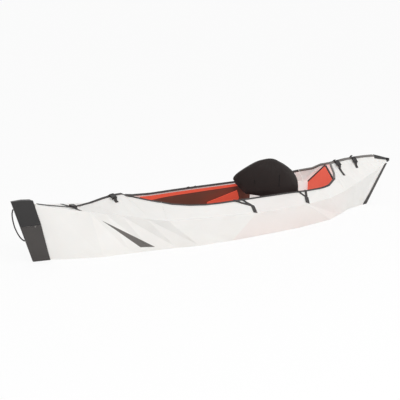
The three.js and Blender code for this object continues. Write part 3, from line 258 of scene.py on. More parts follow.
# %% Tone group
def tone_group():
    tree, given, result = group(
        "tone", [("Base", COLOUR, (0.8, 0.8, 0.8, 1)), ("Second", COLOUR, (0.7, 0.7, 0.7, 1)),
                 ("Mask", FLOAT, 0.0), ("Mottle", FLOAT, 0.3)], [("Color", COLOUR)])
    place_on = node(tree, "ShaderNodeTexCoord")
    noise = node(tree, "ShaderNodeTexNoise", values={"Scale": 5.0, "Detail": 4.0})
    patch = node(tree, "ShaderNodeMapRange", values={"From Min": 0.35, "From Max": 0.65})
    share = node(tree, "ShaderNodeMath", operation="MULTIPLY")
    total = node(tree, "ShaderNodeMath", operation="ADD", use_clamp=True)
    mix = node(tree, "ShaderNodeMix", data_type="RGBA")
    wire(tree, (place_on.outputs["Object"], noise.inputs["Vector"]), (noise.outputs[0], patch.inputs[0]),
         (patch.outputs[0], share.inputs[0]), (given.outputs["Mottle"], share.inputs[1]),
         (share.outputs[0], total.inputs[0]), (given.outputs["Mask"], total.inputs[1]),
         (total.outputs[0], mix.inputs["Factor"]), (given.outputs["Base"], mix.inputs["A"]),
         (given.outputs["Second"], mix.inputs["B"]), (mix.outputs["Result"], result.inputs["Color"]))
    return tree


tone = tone_group()
print("group:", tone.name)

# %% [markdown]
# ### Light from behind
# The sheet lets light through, so a face that looks into the hull is lit from behind as well. A face looks in
# if its normal points towards the line that runs along the middle of the boat. The group puts out that mask.

# %% Inner side group
HULL_HEART = 0.13
INWARD_SHARE = 0.02


def inner_side_group():
    tree, _, result = group("inner side", [], [("Mask", FLOAT)])
    place_on = node(tree, "ShaderNodeTexCoord")
    inward = node(tree, "ShaderNodeVectorMath", operation="SUBTRACT", values={0: (0, 0, HULL_HEART)})
    across = node(tree, "ShaderNodeVectorMath", operation="MULTIPLY", values={1: (0, 1, 1)})
    facing = node(tree, "ShaderNodeVectorMath", operation="DOT_PRODUCT")
    mask = node(tree, "ShaderNodeMapRange", values={"From Max": INWARD_SHARE})
    wire(tree, (place_on.outputs["Object"], inward.inputs[1]), (inward.outputs[0], across.inputs[0]),
         (across.outputs[0], facing.inputs[0]), (place_on.outputs["Normal"], facing.inputs[1]),
         (facing.outputs["Value"], mask.inputs[0]), (mask.outputs[0], result.inputs["Mask"]))
    return tree


inner_side = inner_side_group()
print("group:", inner_side.name)

# %% [markdown]
# ### Colours
# Colours are written as they look in a picture, from 0 to 255, because that is how one reads them off.
# Blender works in linear light, so one small function converts them.

# %% Colour helper
def colour(red, green, blue):
    def linear(value):
        share = value / 255
        return share / 12.92 if share <= 0.04045 else ((share + 0.055) / 1.055) ** 2.4
    return (linear(red), linear(green), linear(blue), 1.0)


def new_finish(name, roughness):
    material = bpy.data.materials.new(name)
    material.use_nodes = True
    shader = material.node_tree.nodes["Principled BSDF"]
    shader.inputs["Roughness"].default_value = roughness
    return material, material.node_tree, shader

# %% [markdown]
# ### The sheet
# The hull's sheet is milky: light goes in, wanders between the two skins and comes out again. A little
# subsurface scattering gives that soft look. Behind the middle panels lies the orange liner, and the light it
# sends through the sheet is painted into the sheet's colour as a faint pink, strongest low down. This painted
# glow is a mask over the place on the boat, so it stays put from every side.

# %% Sheet finish
FLUTE_PITCH = 5 * MM
SHEET_FLUTE_DEPTH = 0.25
SHEET_RIB_TONE = 0.28
SHEET_ROUGHNESS = 0.36
SHEET_MILKINESS = 0.12
SHEET_SCATTERING = (0.02, 0.016, 0.014)
SHEET_WHITE = colour(243, 241, 238)
SHEET_SHADE = colour(232, 230, 226)
PAINTED_GLOW_PINK = colour(246, 228, 224)
GLOW_ENDS = (-1.05, -0.75, 0.02, 0.25)
GLOW_TOP = 0.26
INNER_LIGHT = colour(236, 240, 240)
INNER_LIGHT_LEVEL = 0.24


def ramp(tree, source, low, high, start=0.0, end=1.0):
    made = node(tree, "ShaderNodeMapRange", interpolation_type="SMOOTHSTEP",
                values={"From Min": low, "From Max": high, "To Min": start, "To Max": end})
    wire(tree, (source, made.inputs[0]))
    return made.outputs[0]


def product(tree, first, second):
    made = node(tree, "ShaderNodeMath", operation="MULTIPLY")
    wire(tree, (first, made.inputs[0]), (second, made.inputs[1]))
    return made.outputs[0]


def places_on_boat(tree):
    coordinates = node(tree, "ShaderNodeTexCoord")
    parts = node(tree, "ShaderNodeSeparateXYZ")
    wire(tree, (coordinates.outputs["Object"], parts.inputs[0]))
    return parts.outputs


def sheet_finish(name, glow=0.0):
    material, tree, shader = new_finish(name, SHEET_ROUGHNESS)
    shader.inputs["Subsurface Weight"].default_value = SHEET_MILKINESS
    shader.inputs["Subsurface Radius"].default_value = SHEET_SCATTERING
    ribs = place(tree, flutes, Pitch=FLUTE_PITCH, Depth=SHEET_FLUTE_DEPTH)
    body = place(tree, tone, Base=SHEET_WHITE, Second=SHEET_SHADE, Mottle=0.25)
    lines = node(tree, "ShaderNodeMath", operation="MULTIPLY", values={1: SHEET_RIB_TONE})
    wire(tree, (ribs.outputs["Rib"], lines.inputs[0]), (lines.outputs[0], body.inputs["Mask"]),
         (ribs.outputs["Normal"], shader.inputs["Normal"]))
    surface = body.outputs["Color"]
    # Painted light: the liner's light through the sheet is mixed into the base colour as a faint pink.
    if glow:
        x, _, z = places_on_boat(tree)
        rising = ramp(tree, x, *GLOW_ENDS[:2])
        along = product(tree, rising, ramp(tree, x, *GLOW_ENDS[2:], start=1.0, end=0.0))
        mask = product(tree, along, ramp(tree, z, 0.0, GLOW_TOP, start=glow, end=glow / 4))
        mix = node(tree, "ShaderNodeMix", data_type="RGBA", values={"B": PAINTED_GLOW_PINK})
        wire(tree, (mask, mix.inputs["Factor"]), (surface, mix.inputs["A"]))
        surface = mix.outputs["Result"]
    return material, tree, shader, surface


def light_up(tree, shader, mask, tint, level):
    """Give the surface a little light of its own where the mask is 1."""
    strength = node(tree, "ShaderNodeMath", operation="MULTIPLY", values={1: level})
    shader.inputs["Emission Color"].default_value = tint
    wire(tree, (mask, strength.inputs[0]), (strength.outputs[0], shader.inputs["Emission Strength"]))


def finish_with(made):
    material, tree, shader, surface = made
    wire(tree, (surface, shader.inputs["Base Color"]))
    light_up(tree, shader, place(tree, inner_side).outputs["Mask"], INNER_LIGHT, INNER_LIGHT_LEVEL)
    return material


sheet = finish_with(sheet_finish("sheet"))
sheet_over_liner = finish_with(sheet_finish("sheet over liner", glow=0.4))
print("sheet finishes:", sheet.name, "and", sheet_over_liner.name)

# %% [markdown]
# ### The wedge on the bow
# A long dark wedge is printed on each side of the bow. Paint has no thickness, so it is no piece of its own:
# three straight borders, each a line in the side view, cut a triangle out of the sheet's colour. A border is
# a weighted sum of length and height that is positive inside, and turns into a mask over 1.5 millimetres.

# %% Wedge finish
WEDGE_GREY = colour(104, 100, 96)
WEDGE_CORNERS = ((0.985, 0.226), (0.733, 0.029), (0.639, 0.022))
WEDGE_SOFTNESS = 1.5 * MM


def inside_border(tree, x, z, start, end):
    run, rise = end[0] - start[0], end[1] - start[1]
    length = math.hypot(run, rise)
    offset = (rise * start[0] - run * start[1]) / length
    first = node(tree, "ShaderNodeMath", operation="MULTIPLY_ADD", values={1: -rise / length, 2: offset})
    both = node(tree, "ShaderNodeMath", operation="MULTIPLY_ADD", values={1: run / length})
    wire(tree, (x, first.inputs[0]), (first.outputs[0], both.inputs[2]), (z, both.inputs[0]))
    return ramp(tree, both.outputs[0], 0.0, WEDGE_SOFTNESS)


def wedge_finish():
    material, tree, shader, surface = sheet_finish("sheet with wedge")
    x, _, z = places_on_boat(tree)
    apex, front, rear = WEDGE_CORNERS
    mask = product(tree, inside_border(tree, x, z, front, apex), inside_border(tree, x, z, apex, rear))
    mask = product(tree, mask, inside_border(tree, x, z, rear, front))
    mix = node(tree, "ShaderNodeMix", data_type="RGBA", values={"B": WEDGE_GREY})
    wire(tree, (mask, mix.inputs["Factor"]), (surface, mix.inputs["A"]))
    return finish_with((material, tree, shader, mix.outputs["Result"]))


sheet_with_wedge = wedge_finish()
print("wedge corners, in metres along and up:", WEDGE_CORNERS)

# %% [markdown]
# ### Moulded parts, rubber and boards
# The end caps, buckles and edge channels are moulded or extruded plastic. They share the grain group, and
# differ in colour, in the size of the grain and in how much they shine.

# %% Moulded finishes
RIVET_METALNESS = 0.8


def moulded(name, base, second, roughness, size=1.2, depth=0.35, mottle=0.5):
    material, tree, shader = new_finish(name, roughness)
    skin = place(tree, grain, Size=size * MM, Depth=depth, Roughness=roughness)
    body = place(tree, tone, Base=base, Second=second, Mottle=mottle)
    wire(tree, (skin.outputs["Roughness"], shader.inputs["Roughness"]),
         (skin.outputs["Normal"], shader.inputs["Normal"]),
         (body.outputs["Color"], shader.inputs["Base Color"]))
    return material


hood = moulded("bow hood plastic", colour(38, 36, 36), colour(32, 30, 30), 0.42)
cover = moulded("stem cover plastic", colour(65, 61, 59), colour(56, 52, 51), 0.5)
trim = moulded("edge channel rubber", colour(58, 53, 52), colour(46, 42, 42), 0.55, size=0.8)
rim = moulded("rear rim plastic", colour(120, 116, 113), colour(100, 96, 94), 0.5, size=0.8)
buckle = moulded("buckle plastic", colour(42, 39, 39), colour(34, 32, 32), 0.38, size=0.9)
rivet_metal = moulded("rivet", colour(150, 147, 143), colour(128, 125, 121), 0.35, size=0.5, depth=0.1)
rivet_metal.node_tree.nodes["Principled BSDF"].inputs["Metallic"].default_value = RIVET_METALNESS
print("moulded finishes:", hood.name, cover.name, trim.name, rim.name, buckle.name, rivet_metal.name)

# %% Fluted board finishes
BOARD_FLUTE_DEPTH = 0.2
BOARD_RIB_TONE = 0.3


def fluted(name, base, second, roughness):
    material, tree, shader = new_finish(name, roughness)
    ribs = place(tree, flutes, Pitch=FLUTE_PITCH, Depth=BOARD_FLUTE_DEPTH)
    body = place(tree, tone, Base=base, Second=second, Mottle=0.3)
    lines = node(tree, "ShaderNodeMath", operation="MULTIPLY", values={1: BOARD_RIB_TONE})
    wire(tree, (ribs.outputs["Rib"], lines.inputs[0]), (lines.outputs[0], body.inputs["Mask"]),
         (ribs.outputs["Normal"], shader.inputs["Normal"]),
         (body.outputs["Color"], shader.inputs["Base Color"]))
    return material


ORANGES = (colour(240, 96, 74), colour(226, 84, 62))
# Painted light: the orange sheet glows a little, standing in for light that comes through the hull behind it.
ORANGE_PAINTED_GLOW = 0.3
orange = fluted("orange sheet", *ORANGES, 0.42)
orange_shader = orange.node_tree.nodes["Principled BSDF"]
orange_shader.inputs["Emission Color"].default_value = ORANGES[0]
orange_shader.inputs["Emission Strength"].default_value = ORANGE_PAINTED_GLOW
BOARD_GREYS = (colour(64, 56, 54), colour(52, 46, 45))
board = fluted("dark board", *BOARD_GREYS, 0.5)
print("board finishes:", orange.name, board.name)

# %% [markdown]
# The liner is orange. Inside the cockpit it is painted brown below a height, as painted shade for the wall in
# shadow, and only its lit top strip shows orange. The floorboard is dark under the seat, and orange where its
# wings stand up. Both change colour at a height on the boat, and both get a painted glow above it.

# %% Two-tone boards
BORDER_BLUR = 1 * MM
TWO_TONE_ROUGHNESS = 0.45


def two_tone(name, low_tones, high_tones, height):
    material, tree, shader = new_finish(name, TWO_TONE_ROUGHNESS)
    _, _, z = places_on_boat(tree)
    above = ramp(tree, z, height - BORDER_BLUR / 2, height + BORDER_BLUR / 2)
    low = place(tree, tone, Base=low_tones[0], Second=low_tones[1])
    high = place(tree, tone, Base=high_tones[0], Second=high_tones[1])
    ribs = place(tree, flutes, Pitch=FLUTE_PITCH, Depth=BOARD_FLUTE_DEPTH)
    mix = node(tree, "ShaderNodeMix", data_type="RGBA")
    wire(tree, (above, mix.inputs["Factor"]), (low.outputs["Color"], mix.inputs["A"]),
         (high.outputs["Color"], mix.inputs["B"]), (mix.outputs["Result"], shader.inputs["Base Color"]),
         (ribs.outputs["Normal"], shader.inputs["Normal"]))
    # Painted light: above the height the surface gets a little light of its own, in its orange.
    light_up(tree, shader, above, high_tones[0], ORANGE_PAINTED_GLOW)
    return material


# Painted shade: the liner is orange, and its brown below this height stands for the wall in shadow.
LINER_SHADE_BROWNS = (colour(132, 84, 70), colour(112, 72, 61))
LINER_SHADE_HEIGHT = 0.200
WING_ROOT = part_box("seat_pad")[0][2] + 2 * MM
liner = two_tone("liner", LINER_SHADE_BROWNS, ORANGES, LINER_SHADE_HEIGHT)
winged_floor = two_tone("floor with wings", BOARD_GREYS, ORANGES, WING_ROOT)
print("two-tone finishes:", liner.name, winged_floor.name)

# %% [markdown]
# ### Cloth finishes
# Webbing is a flat weave with a dull sheen. The pads have a coarser cover, brown black in the light. Sheen
# gives cloth the pale edge it shows at a flat angle.

# %% Woven finishes
KNUCKLE_TONE = 0.5
CLOTH_ROUGHNESS = 0.85


def woven(name, base, second, pitch, depth, sheen):
    material, tree, shader = new_finish(name, CLOTH_ROUGHNESS)
    shader.inputs["Sheen Weight"].default_value = sheen
    threads = place(tree, weave, Pitch=pitch * MM, Depth=depth)
    body = place(tree, tone, Base=base, Second=second, Mottle=0.35)
    raised = node(tree, "ShaderNodeMath", operation="MULTIPLY", values={1: KNUCKLE_TONE})
    wire(tree, (threads.outputs["Knuckle"], raised.inputs[0]), (raised.outputs[0], body.inputs["Mask"]),
         (threads.outputs["Normal"], shader.inputs["Normal"]),
         (body.outputs["Color"], shader.inputs["Base Color"]))
    return material


webbing = woven("webbing", colour(44, 40, 40), colour(62, 57, 56), 1.6, 0.5, 0.15)
pad_cloth = woven("pad cover", colour(34, 28, 26), colour(46, 38, 36), 2.2, 0.4, 0.1)
piping_cloth = woven("piping", colour(50, 44, 43), colour(64, 58, 56), 1.4, 0.3, 0.1)
# Painted shade: the near-black slot colour stands for the shade inside the slots' openings.
slot_shade_cloth = woven("slot opening shade", colour(14, 12, 12), colour(22, 20, 20), 1.4, 0.3, 0.05)
print("cloth finishes:", webbing.name, pad_cloth.name, piping_cloth.name, slot_shade_cloth.name)

# %% [markdown]
# ### Dressing the frame's pieces
# The record gives each piece a material slot. One table turns slots into finishes. The few pieces that need
# more than their slot says come after it: the panels with the wedge or with the liner behind, the liner walls
# and the floorboard.

# %% Finishes onto the pieces
SLOT_FINISH = {
    "sheet": sheet, "orange": orange, "trim": trim, "rim": rim, "hood": hood, "cover": cover,
    "webbing": webbing, "buckle": buckle, "pad": pad_cloth, "board": board,
}
OWN_FINISH = {f"{side}_{panel}": finish for side in SIDES for panel, finish in (
    ("side_bow", sheet_with_wedge), ("side_mid", sheet_over_liner), ("side_stern", sheet_over_liner),
    ("deck_mid", sheet_over_liner), ("liner_wall", liner))}
OWN_FINISH["floorboard"] = winged_floor


def give_finish(data, finish):
    data.materials.clear()
    data.materials.append(finish)


for part in frame["record"]["subparts"]:
    name = part["node"]
    give_finish(frame["nodes"][name].data, OWN_FINISH.get(name, SLOT_FINISH[part["material_slot"]]))

# %% [markdown]
# ### Adding pieces
# A piece made here has a mesh or curve, a finish and a body that it rides on. One helper gives it all
# three. Another makes a tube through points, for creases, piping and edging, and the rest read the frame's
# pieces: the corners of one, its surface as something to search, and the two points of a set furthest apart.

# %% Piece helpers
def add_piece(name, data, finish, body):
    piece = add_object(name, data)
    give_finish(data, finish)
    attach(piece, body)
    return piece


def tube_data(name, points, radius, closed=False):
    data = bpy.data.curves.new(name, "CURVE")
    data.dimensions = "3D"
    data.bevel_depth = radius
    data.bevel_resolution = 3
    data.use_fill_caps = not closed
    spline = data.splines.new("POLY")
    spline.points.add(len(points) - 1)
    for target, place_at in zip(spline.points, points):
        target.co = (*place_at, 1.0)
    spline.use_cyclic_u = closed
    return data


def corners_of(name):
    return [vertex.co.copy() for vertex in frame["nodes"][name].data.vertices]


def search_tree(data):
    return BVHTree.FromPolygons([v.co for v in data.vertices], [p.vertices for p in data.polygons])


def surface_of(name):
    return search_tree(frame["nodes"][name].data)


def furthest_pair(points):
    return max(((a, b) for a in points for b in points), key=lambda pair: (pair[0] - pair[1]).length)

# %% [markdown]
# ### Creases
# The real sheet isn't cut at a fold: the skin carries on, pressed flat along a narrow line. The solids part
# there by a hair, so a thin bead of the sheet's own plastic closes each fold. The bead's line is read from
# the frame: the outer corners of one panel that lie against its neighbour.

# %% Crease beads
CREASE_REACH = 1.6 * MM
CREASE_RADIUS = 1.3 * MM
CREASE_SINK = 0.9 * MM
CREASE_STEP = 8 * MM
CREASES = (
    ("side_bow", "hull_bottom_panel"), ("side_mid", "hull_bottom_panel"), ("side_stern", "hull_bottom_panel"),
    ("fore_deck_flap", "side_bow"), ("side_forward", "side_bow"), ("side_forward", "side_mid"),
    ("side_mid", "side_stern"), ("deck_forward", "side_forward"), ("deck_mid", "side_mid"),
    ("deck_aft", "side_stern"), ("aft_deck_flap", "side_stern"), ("deck_forward", "deck_mid"),
    ("deck_mid", "deck_aft"),
)


def outwardness(corner):
    return math.hypot(corner.y, corner.z - HULL_HEART)


def crease_line(name, neighbour):
    others = surface_of(neighbour)
    near = [c for c in corners_of(name) if others.find_nearest(c, CREASE_REACH)[0] is not None]
    start, end = furthest_pair(near)
    along = (end - start).normalized()
    line = []
    for corner in sorted(near, key=lambda c: c.dot(along)):
        if line and (corner - line[-1]).dot(along) < CREASE_STEP:
            line[-1] = max(line[-1], corner, key=outwardness)
        else:
            line.append(corner)
    inward = [(Vector((corner.x, 0, HULL_HEART)) - corner).normalized() for corner in line]
    return [corner + way * CREASE_SINK for corner, way in zip(line, inward)]


def full_name(side, panel):
    return panel if panel in frame["nodes"] else f"{side}_{panel}"


crease_plastic = finish_with(sheet_finish("pressed crease"))
for side in SIDES:
    for first, second in CREASES:
        line = crease_line(full_name(side, first), full_name(side, second))
        label = f"{side}_{first}_to_{second}_crease"
        add_piece(label, tube_data(label, line, CREASE_RADIUS), crease_plastic, "hull")
print("creases:", len(SIDES) * len(CREASES))

# %% [markdown]
# The two folds where a flap swings past the deck beside it stand a few millimetres open in the solids. A bead
# midway between the two edges closes each of them. It stays on the hull when the flap opens.

# %% Parting beads
PARTING_REACH = 7 * MM
PARTING_RADIUS = 1.35 * MM
PARTINGS = (("deck_forward", "fore_deck_flap"), ("deck_aft", "aft_deck_flap"))


def parting_line(name, flap):
    others = surface_of(flap)
    line = []
    for corner in corners_of(name):
        beside = others.find_nearest(corner, PARTING_REACH)[0]
        if beside is not None:
            line.append((corner + beside) / 2)
    return [max((point for point in line if (point - tip).length < PARTING_REACH), key=outwardness)
            for tip in furthest_pair(line)]


for side in SIDES:
    for name, flap in PARTINGS:
        label = f"{side}_{name}_parting"
        line = parting_line(f"{side}_{name}", f"{side}_{flap}")
        add_piece(label, tube_data(label, line, PARTING_RADIUS), crease_plastic, "hull")
        print(label, "of", round((line[0] - line[1]).length, 3), "m")

# %% [markdown]
# ### Liner tails
# The liner walls of the frame end beside the seat. In the picture they run on to the backrest, so each gets a
# tail: the four corners of its aft end, carried back along the wall to where the side bends in.

# %% Liner tails
TAIL_END = -0.430
TAIL_GAP = 0.5 * MM
TAIL_FOOT_IN = 8 * MM
TAIL_TOP_DROP = 3 * MM
BOX_FACES = ((0, 1, 2, 3), (7, 6, 5, 4), (0, 4, 5, 1), (1, 5, 6, 2), (2, 6, 7, 3), (3, 7, 4, 0))


def liner_tail(side, sense):
    corners = corners_of(f"{side}_liner_wall")
    aft = min(c.x for c in corners)
    ends = {tuple(round(v, 5) for v in c) for c in corners if c.x < aft + MM}
    low = sorted((c for c in ends if c[2] < HULL_HEART), key=lambda c: abs(c[1]))
    high = sorted((c for c in ends if c[2] > HULL_HEART), key=lambda c: -abs(c[1]))
    near = [Vector(c) - Vector((TAIL_GAP, 0, 0)) for c in low + high]
    far = [Vector((TAIL_END, c.y - sense * TAIL_FOOT_IN, c.z)) for c in near[:2]]
    far += [Vector((TAIL_END, c.y, c.z - TAIL_TOP_DROP)) for c in near[2:]]
    data = bpy.data.meshes.new(f"{side}_liner_tail")
    faces = BOX_FACES if sense > 0 else [face[::-1] for face in BOX_FACES]
    data.from_pydata(near + far, [], faces)
    return add_piece(f"{side}_liner_tail", data, liner, "hull")


for side, sense in zip(SIDES, (1, -1)):
    tail = liner_tail(side, sense)
    print(tail.name, [round(v, 3) for v in tail.dimensions])

# %% [markdown]
# ### Pads
# The seat and the backrest are foam in a woven cover. Each of the frame's plain pads is the start of its soft
# one: remeshed into an even grid, fitted to an outline where it has one, drawn in a little, then inflated as
# cloth with air inside. Cloth alone would balloon, so no point may move further than a cap. What lies against
# the board or the floor stays flat, because a pinned group holds it.

# %% Inflate a pad
VOXEL = 5 * MM
LEVEL_STEP = 2 * VOXEL
INFLATION_FRAMES = 20
PRESSURE = 4.0


def apply_modifiers(piece):
    graph = bpy.context.evaluated_depsgraph_get()
    fresh = bpy.data.meshes.new_from_object(piece.evaluated_get(graph))
    piece.modifiers.clear()
    piece.data = fresh


def remeshed_copy(name, source):
    pad = add_object(name, frame["nodes"][source].data.copy())
    remesh = pad.modifiers.new("grid", "REMESH")
    remesh.mode = "VOXEL"
    remesh.voxel_size = VOXEL
    apply_modifiers(pad)
    return pad


def read_table(table, at):
    for (low, first), (high, second) in zip(table, table[1:]):
        if at <= high:
            return first + (second - first) * max(at - low, 0) / (high - low)
    return table[-1][1]


def follow_outline(pad, outline, twist):
    """Stretch the pad to the outline's height, move its edges to the outline, and turn its sides."""
    heights = [vertex.co.z for vertex in pad.data.vertices]
    foot, top = min(heights), max(heights)
    stretch = (outline[-1][0] - outline[0][0]) / (top - foot)
    for vertex in pad.data.vertices:
        vertex.co.z = outline[0][0] + (vertex.co.z - foot) * stretch
    levels = {}
    for vertex in pad.data.vertices:
        level = round(vertex.co.z / LEVEL_STEP)
        levels[level] = max(levels.get(level, 0), abs(vertex.co.y))
    own = [(level * LEVEL_STEP, levels[level]) for level in sorted(levels)]
    ports, starboards = ([(row[0], row[column]) for row in outline] for column in (1, 2))
    for vertex in pad.data.vertices:
        port, starboard = (read_table(edge, vertex.co.z) for edge in (ports, starboards))
        share = vertex.co.y / read_table(own, vertex.co.z)
        vertex.co.y = (port + starboard) / 2 + share * (port - starboard) / 2
        vertex.co.x += twist * vertex.co.y


def draw_in(pad, distance):
    normals = [vertex.normal.copy() for vertex in pad.data.vertices]
    for vertex, normal in zip(pad.data.vertices, normals):
        vertex.co -= normal * distance


def inflate(pad, resting, cap):
    start = [vertex.co.copy() for vertex in pad.data.vertices]
    held = pad.vertex_groups.new(name="held")
    held.add([v.index for v in pad.data.vertices if resting(v)], 1.0, "REPLACE")
    cloth = pad.modifiers.new("air", "CLOTH").settings
    cloth.use_pressure = True
    cloth.uniform_pressure_force = PRESSURE
    cloth.effector_weights.gravity = 0.0
    cloth.vertex_group_mass = "held"
    for step in range(1, INFLATION_FRAMES + 1):
        bpy.context.scene.frame_set(step)
    apply_modifiers(pad)
    for vertex, origin in zip(pad.data.vertices, start):
        shift = vertex.co - origin
        if shift.length > cap:
            vertex.co = origin + shift.normalized() * cap
    bpy.context.scene.frame_set(1)


def soft_pad(name, source, body, resting, draw=2.5 * MM, cap=6 * MM, outline=(), twist=0.0):
    pad = remeshed_copy(name, source)
    if outline:
        follow_outline(pad, outline, twist)
    draw_in(pad, draw)
    inflate(pad, resting, cap)
    smooth = pad.modifiers.new("smooth", "SUBSURF")
    smooth.levels = smooth.render_levels = 1
    apply_modifiers(pad)
    pad.data.polygons.foreach_set("use_smooth", [True] * len(pad.data.polygons))
    give_finish(pad.data, pad_cloth)
    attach(pad, body)
    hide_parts(source)
    return pad

# %% [markdown]
# The backrest's outline is the picture's: a dome, full at its foot, where it stands between the two sides. It
# hangs a little crooked, as soft things do: turned, with its starboard side forward, and highest to port of
# the middle. So each row of the outline is a height with a port edge and a starboard edge.

# %% Seat and backrest
BACK_OUTLINE = (
    (0.158, 0.195, -0.150), (0.175, 0.218, -0.178), (0.200, 0.234, -0.196), (0.213, 0.240, -0.216),
    (0.226, 0.243, -0.226), (0.249, 0.245, -0.226), (0.268, 0.246, -0.222), (0.293, 0.243, -0.207),
    (0.314, 0.233, -0.187), (0.338, 0.213, -0.158), (0.363, 0.184, -0.126), (0.388, 0.141, -0.091),
    (0.404, 0.104, -0.061), (0.414, 0.070, -0.030), (0.421, 0.036, 0.000),
)
BACK_TWIST = -0.350
FACES_FLOOR = -0.5
FACES_BOARD = -0.7
seat = soft_pad("seat_cushion", "seat_pad", "hull", lambda v: v.normal.z < FACES_FLOOR)
back = soft_pad("backrest_cushion", "backrest_pad", "backrest", lambda v: v.normal.x < FACES_BOARD,
                outline=BACK_OUTLINE, twist=BACK_TWIST)
print("pads:", len(seat.data.vertices), "and", len(back.data.vertices), "points")
print("sizes:", [round(v, 3) for v in seat.dimensions], [round(v, 3) for v in back.dimensions])

# %% [markdown]
# ### Piping and slots of the backrest
# A corded seam runs round the backrest's edge. Its line is the pad's own outline seen from the front: for
# each direction round the middle, the mean of the pad's furthest points. Two short slots for the back strap
# are sewn into the front, each found by looking at the soft pad from ahead. Each slot is a near-black bead on
# the pad: painted shade for the opening.

# %% Piping
PIPING_RADIUS = 3.6 * MM
PIPING_POINTS = 72
RIM_SHARE = 0.985


def outline_from_ahead(corners):
    middle = sum(corners, Vector()) / len(corners)
    sectors = [[] for _ in range(PIPING_POINTS)]
    for corner in corners:
        y, z = corner.y - middle.y, corner.z - middle.z
        sector = math.floor((math.atan2(z, y) / (2 * math.pi) % 1.0) * PIPING_POINTS)
        sectors[sector].append((math.hypot(y, z), corner))
    ring = []
    for found in filter(None, sectors):
        reach = max(found, key=lambda pair: pair[0])[0]
        rim_corners = [corner for distance, corner in found if distance > reach * RIM_SHARE]
        ring.append(sum(rim_corners, Vector()) / len(rim_corners))
    return ring


def smoothed(ring):
    return [(ring[k - 1] + 2 * ring[k] + ring[(k + 1) % len(ring)]) / 4 for k in range(len(ring))]


piping_line = smoothed(smoothed(outline_from_ahead([vertex.co for vertex in back.data.vertices])))
piping_data = tube_data("backrest_piping", piping_line, PIPING_RADIUS, closed=True)
add_piece("backrest_piping", piping_data, piping_cloth, "backrest")
print("piping points:", len(piping_line))

# %% Backrest slots
SLOT_WIDTH = 6 * MM
# Painted shade: each slot's opening is drawn as a near-black bead on the pad.
SLOTS = (("port_back_slot", 0.106, 0.245, 0.322), ("starboard_back_slot", -0.072, 0.243, 0.268))


def surface_ahead(tree, y, z):
    return tree.ray_cast(Vector((0.0, y, z)), Vector((-1, 0, 0)))[0]


def slot_line(tree, y, low, high, steps=6):
    heights = [low + (high - low) * k / steps for k in range(steps + 1)]
    return [surface_ahead(tree, y, z) for z in heights]


back_surface = search_tree(back.data)
for label, y, low, high in SLOTS:
    line = slot_line(back_surface, y, low, high)
    add_piece(label, tube_data(label, line, SLOT_WIDTH / 2), slot_shade_cloth, "backrest")
print("slots:", len(SLOTS))

# %% [markdown]
# ### Edging of the inner walls
# The two bulkheads are cut sheet, and a black channel covers their raw edges. It follows the outline up one
# side, over the top and down the other. The foot stays bare, because it stands on the bottom.

# %% Bulkhead edging
EDGING_RADIUS = 6 * MM
EDGING_CLEAR = 0.02
EDGING_STEP = 2 * MM


def plate_outline(name):
    corners = [c for c in corners_of(name) if c.z > EDGING_CLEAR]
    line = []
    for corner in sorted(corners, key=lambda c: c.y):
        if line and abs(corner.y - line[-1][0].y) < EDGING_STEP:
            line[-1].append(corner)
        else:
            line.append([corner])
    return [sum(level, Vector()) / len(level) for level in line]


for name in ("foot_brace", "rear_bulkhead"):
    label = f"{name}_edging"
    line = plate_outline(name)
    add_piece(label, tube_data(label, line, EDGING_RADIUS), trim, name)
    print(label, len(line), "points")

# %% [markdown]
# ### Rivets
# A rivet on each side holds the bow cap. It is a low dome on the skin, placed by looking at its carrier from
# the side, so it sits on the surface and not beside it.

# %% Rivets
RIVET_RADIUS = 4 * MM
RIVET_RISE_SHARE = 0.4
RINGS, SPOKES = 3, 12
BOW_RIVET = (1.337, 0.208)
SIGHT_DISTANCE = 1.0


def dome_data(name, centre, normal, radius):
    data = bpy.data.meshes.new(name)
    across = normal.orthogonal().normalized()
    other = normal.cross(across)
    points, faces = [centre + normal * radius * RIVET_RISE_SHARE], []
    for ring in range(1, RINGS + 1):
        angle = math.pi / 2 * ring / RINGS
        rise = normal * radius * RIVET_RISE_SHARE * math.cos(angle)
        for spoke in range(SPOKES):
            turn = 2 * math.pi * spoke / SPOKES
            outward = across * math.cos(turn) + other * math.sin(turn)
            points.append(centre + rise + outward * radius * math.sin(angle))
    for spoke in range(SPOKES):
        after = (spoke + 1) % SPOKES
        faces.append((0, 1 + spoke, 1 + after))
        for ring in range(RINGS - 1):
            low, high = 1 + ring * SPOKES, 1 + (ring + 1) * SPOKES
            faces.append((low + spoke, high + spoke, high + after, low + after))
    faces.append([1 + (RINGS - 1) * SPOKES + spoke for spoke in reversed(range(SPOKES))])
    data.from_pydata(points, [], faces)
    data.polygons.foreach_set("use_smooth", [True] * len(faces))
    return data


def seen_from_side(carrier, x, z, sense):
    far = Vector((x, sense * SIGHT_DISTANCE, z))
    hit_at, normal, _, _ = surface_of(carrier).ray_cast(far, Vector((0, -sense, 0)))
    return hit_at, normal


def add_rivet(side, sense, carrier, x, z):
    hit_at, normal = seen_from_side(carrier, x, z, sense)
    label = f"{side}_bow_rivet"
    add_piece(label, dome_data(label, hit_at, normal, RIVET_RADIUS), rivet_metal, "hull")
    print(label, [round(v, 3) for v in hit_at])


for side, sense in zip(SIDES, (1, -1)):
    add_rivet(side, sense, "bow_stem_cover", *BOW_RIVET)

# %% [markdown]
# ### Floor, world and lamps
# The photo is a catalogue shot: white all round, with hardly a shadow. The world is white to the camera and
# to anything shiny, but lights the boat at a lower level. To the camera the floor is mostly light of its own,
# so that it is white and still takes the shadow. Two broad lamps on the camera's side give the facets their
# tone.

# %% Floor
FLOOR_SIZE = 60.0
FLOOR_OWN_LIGHT = 0.86
FLOOR_ROUGHNESS = 0.9
FLOOR_WHITE = colour(250, 250, 250)
WHITE = (1, 1, 1, 1)


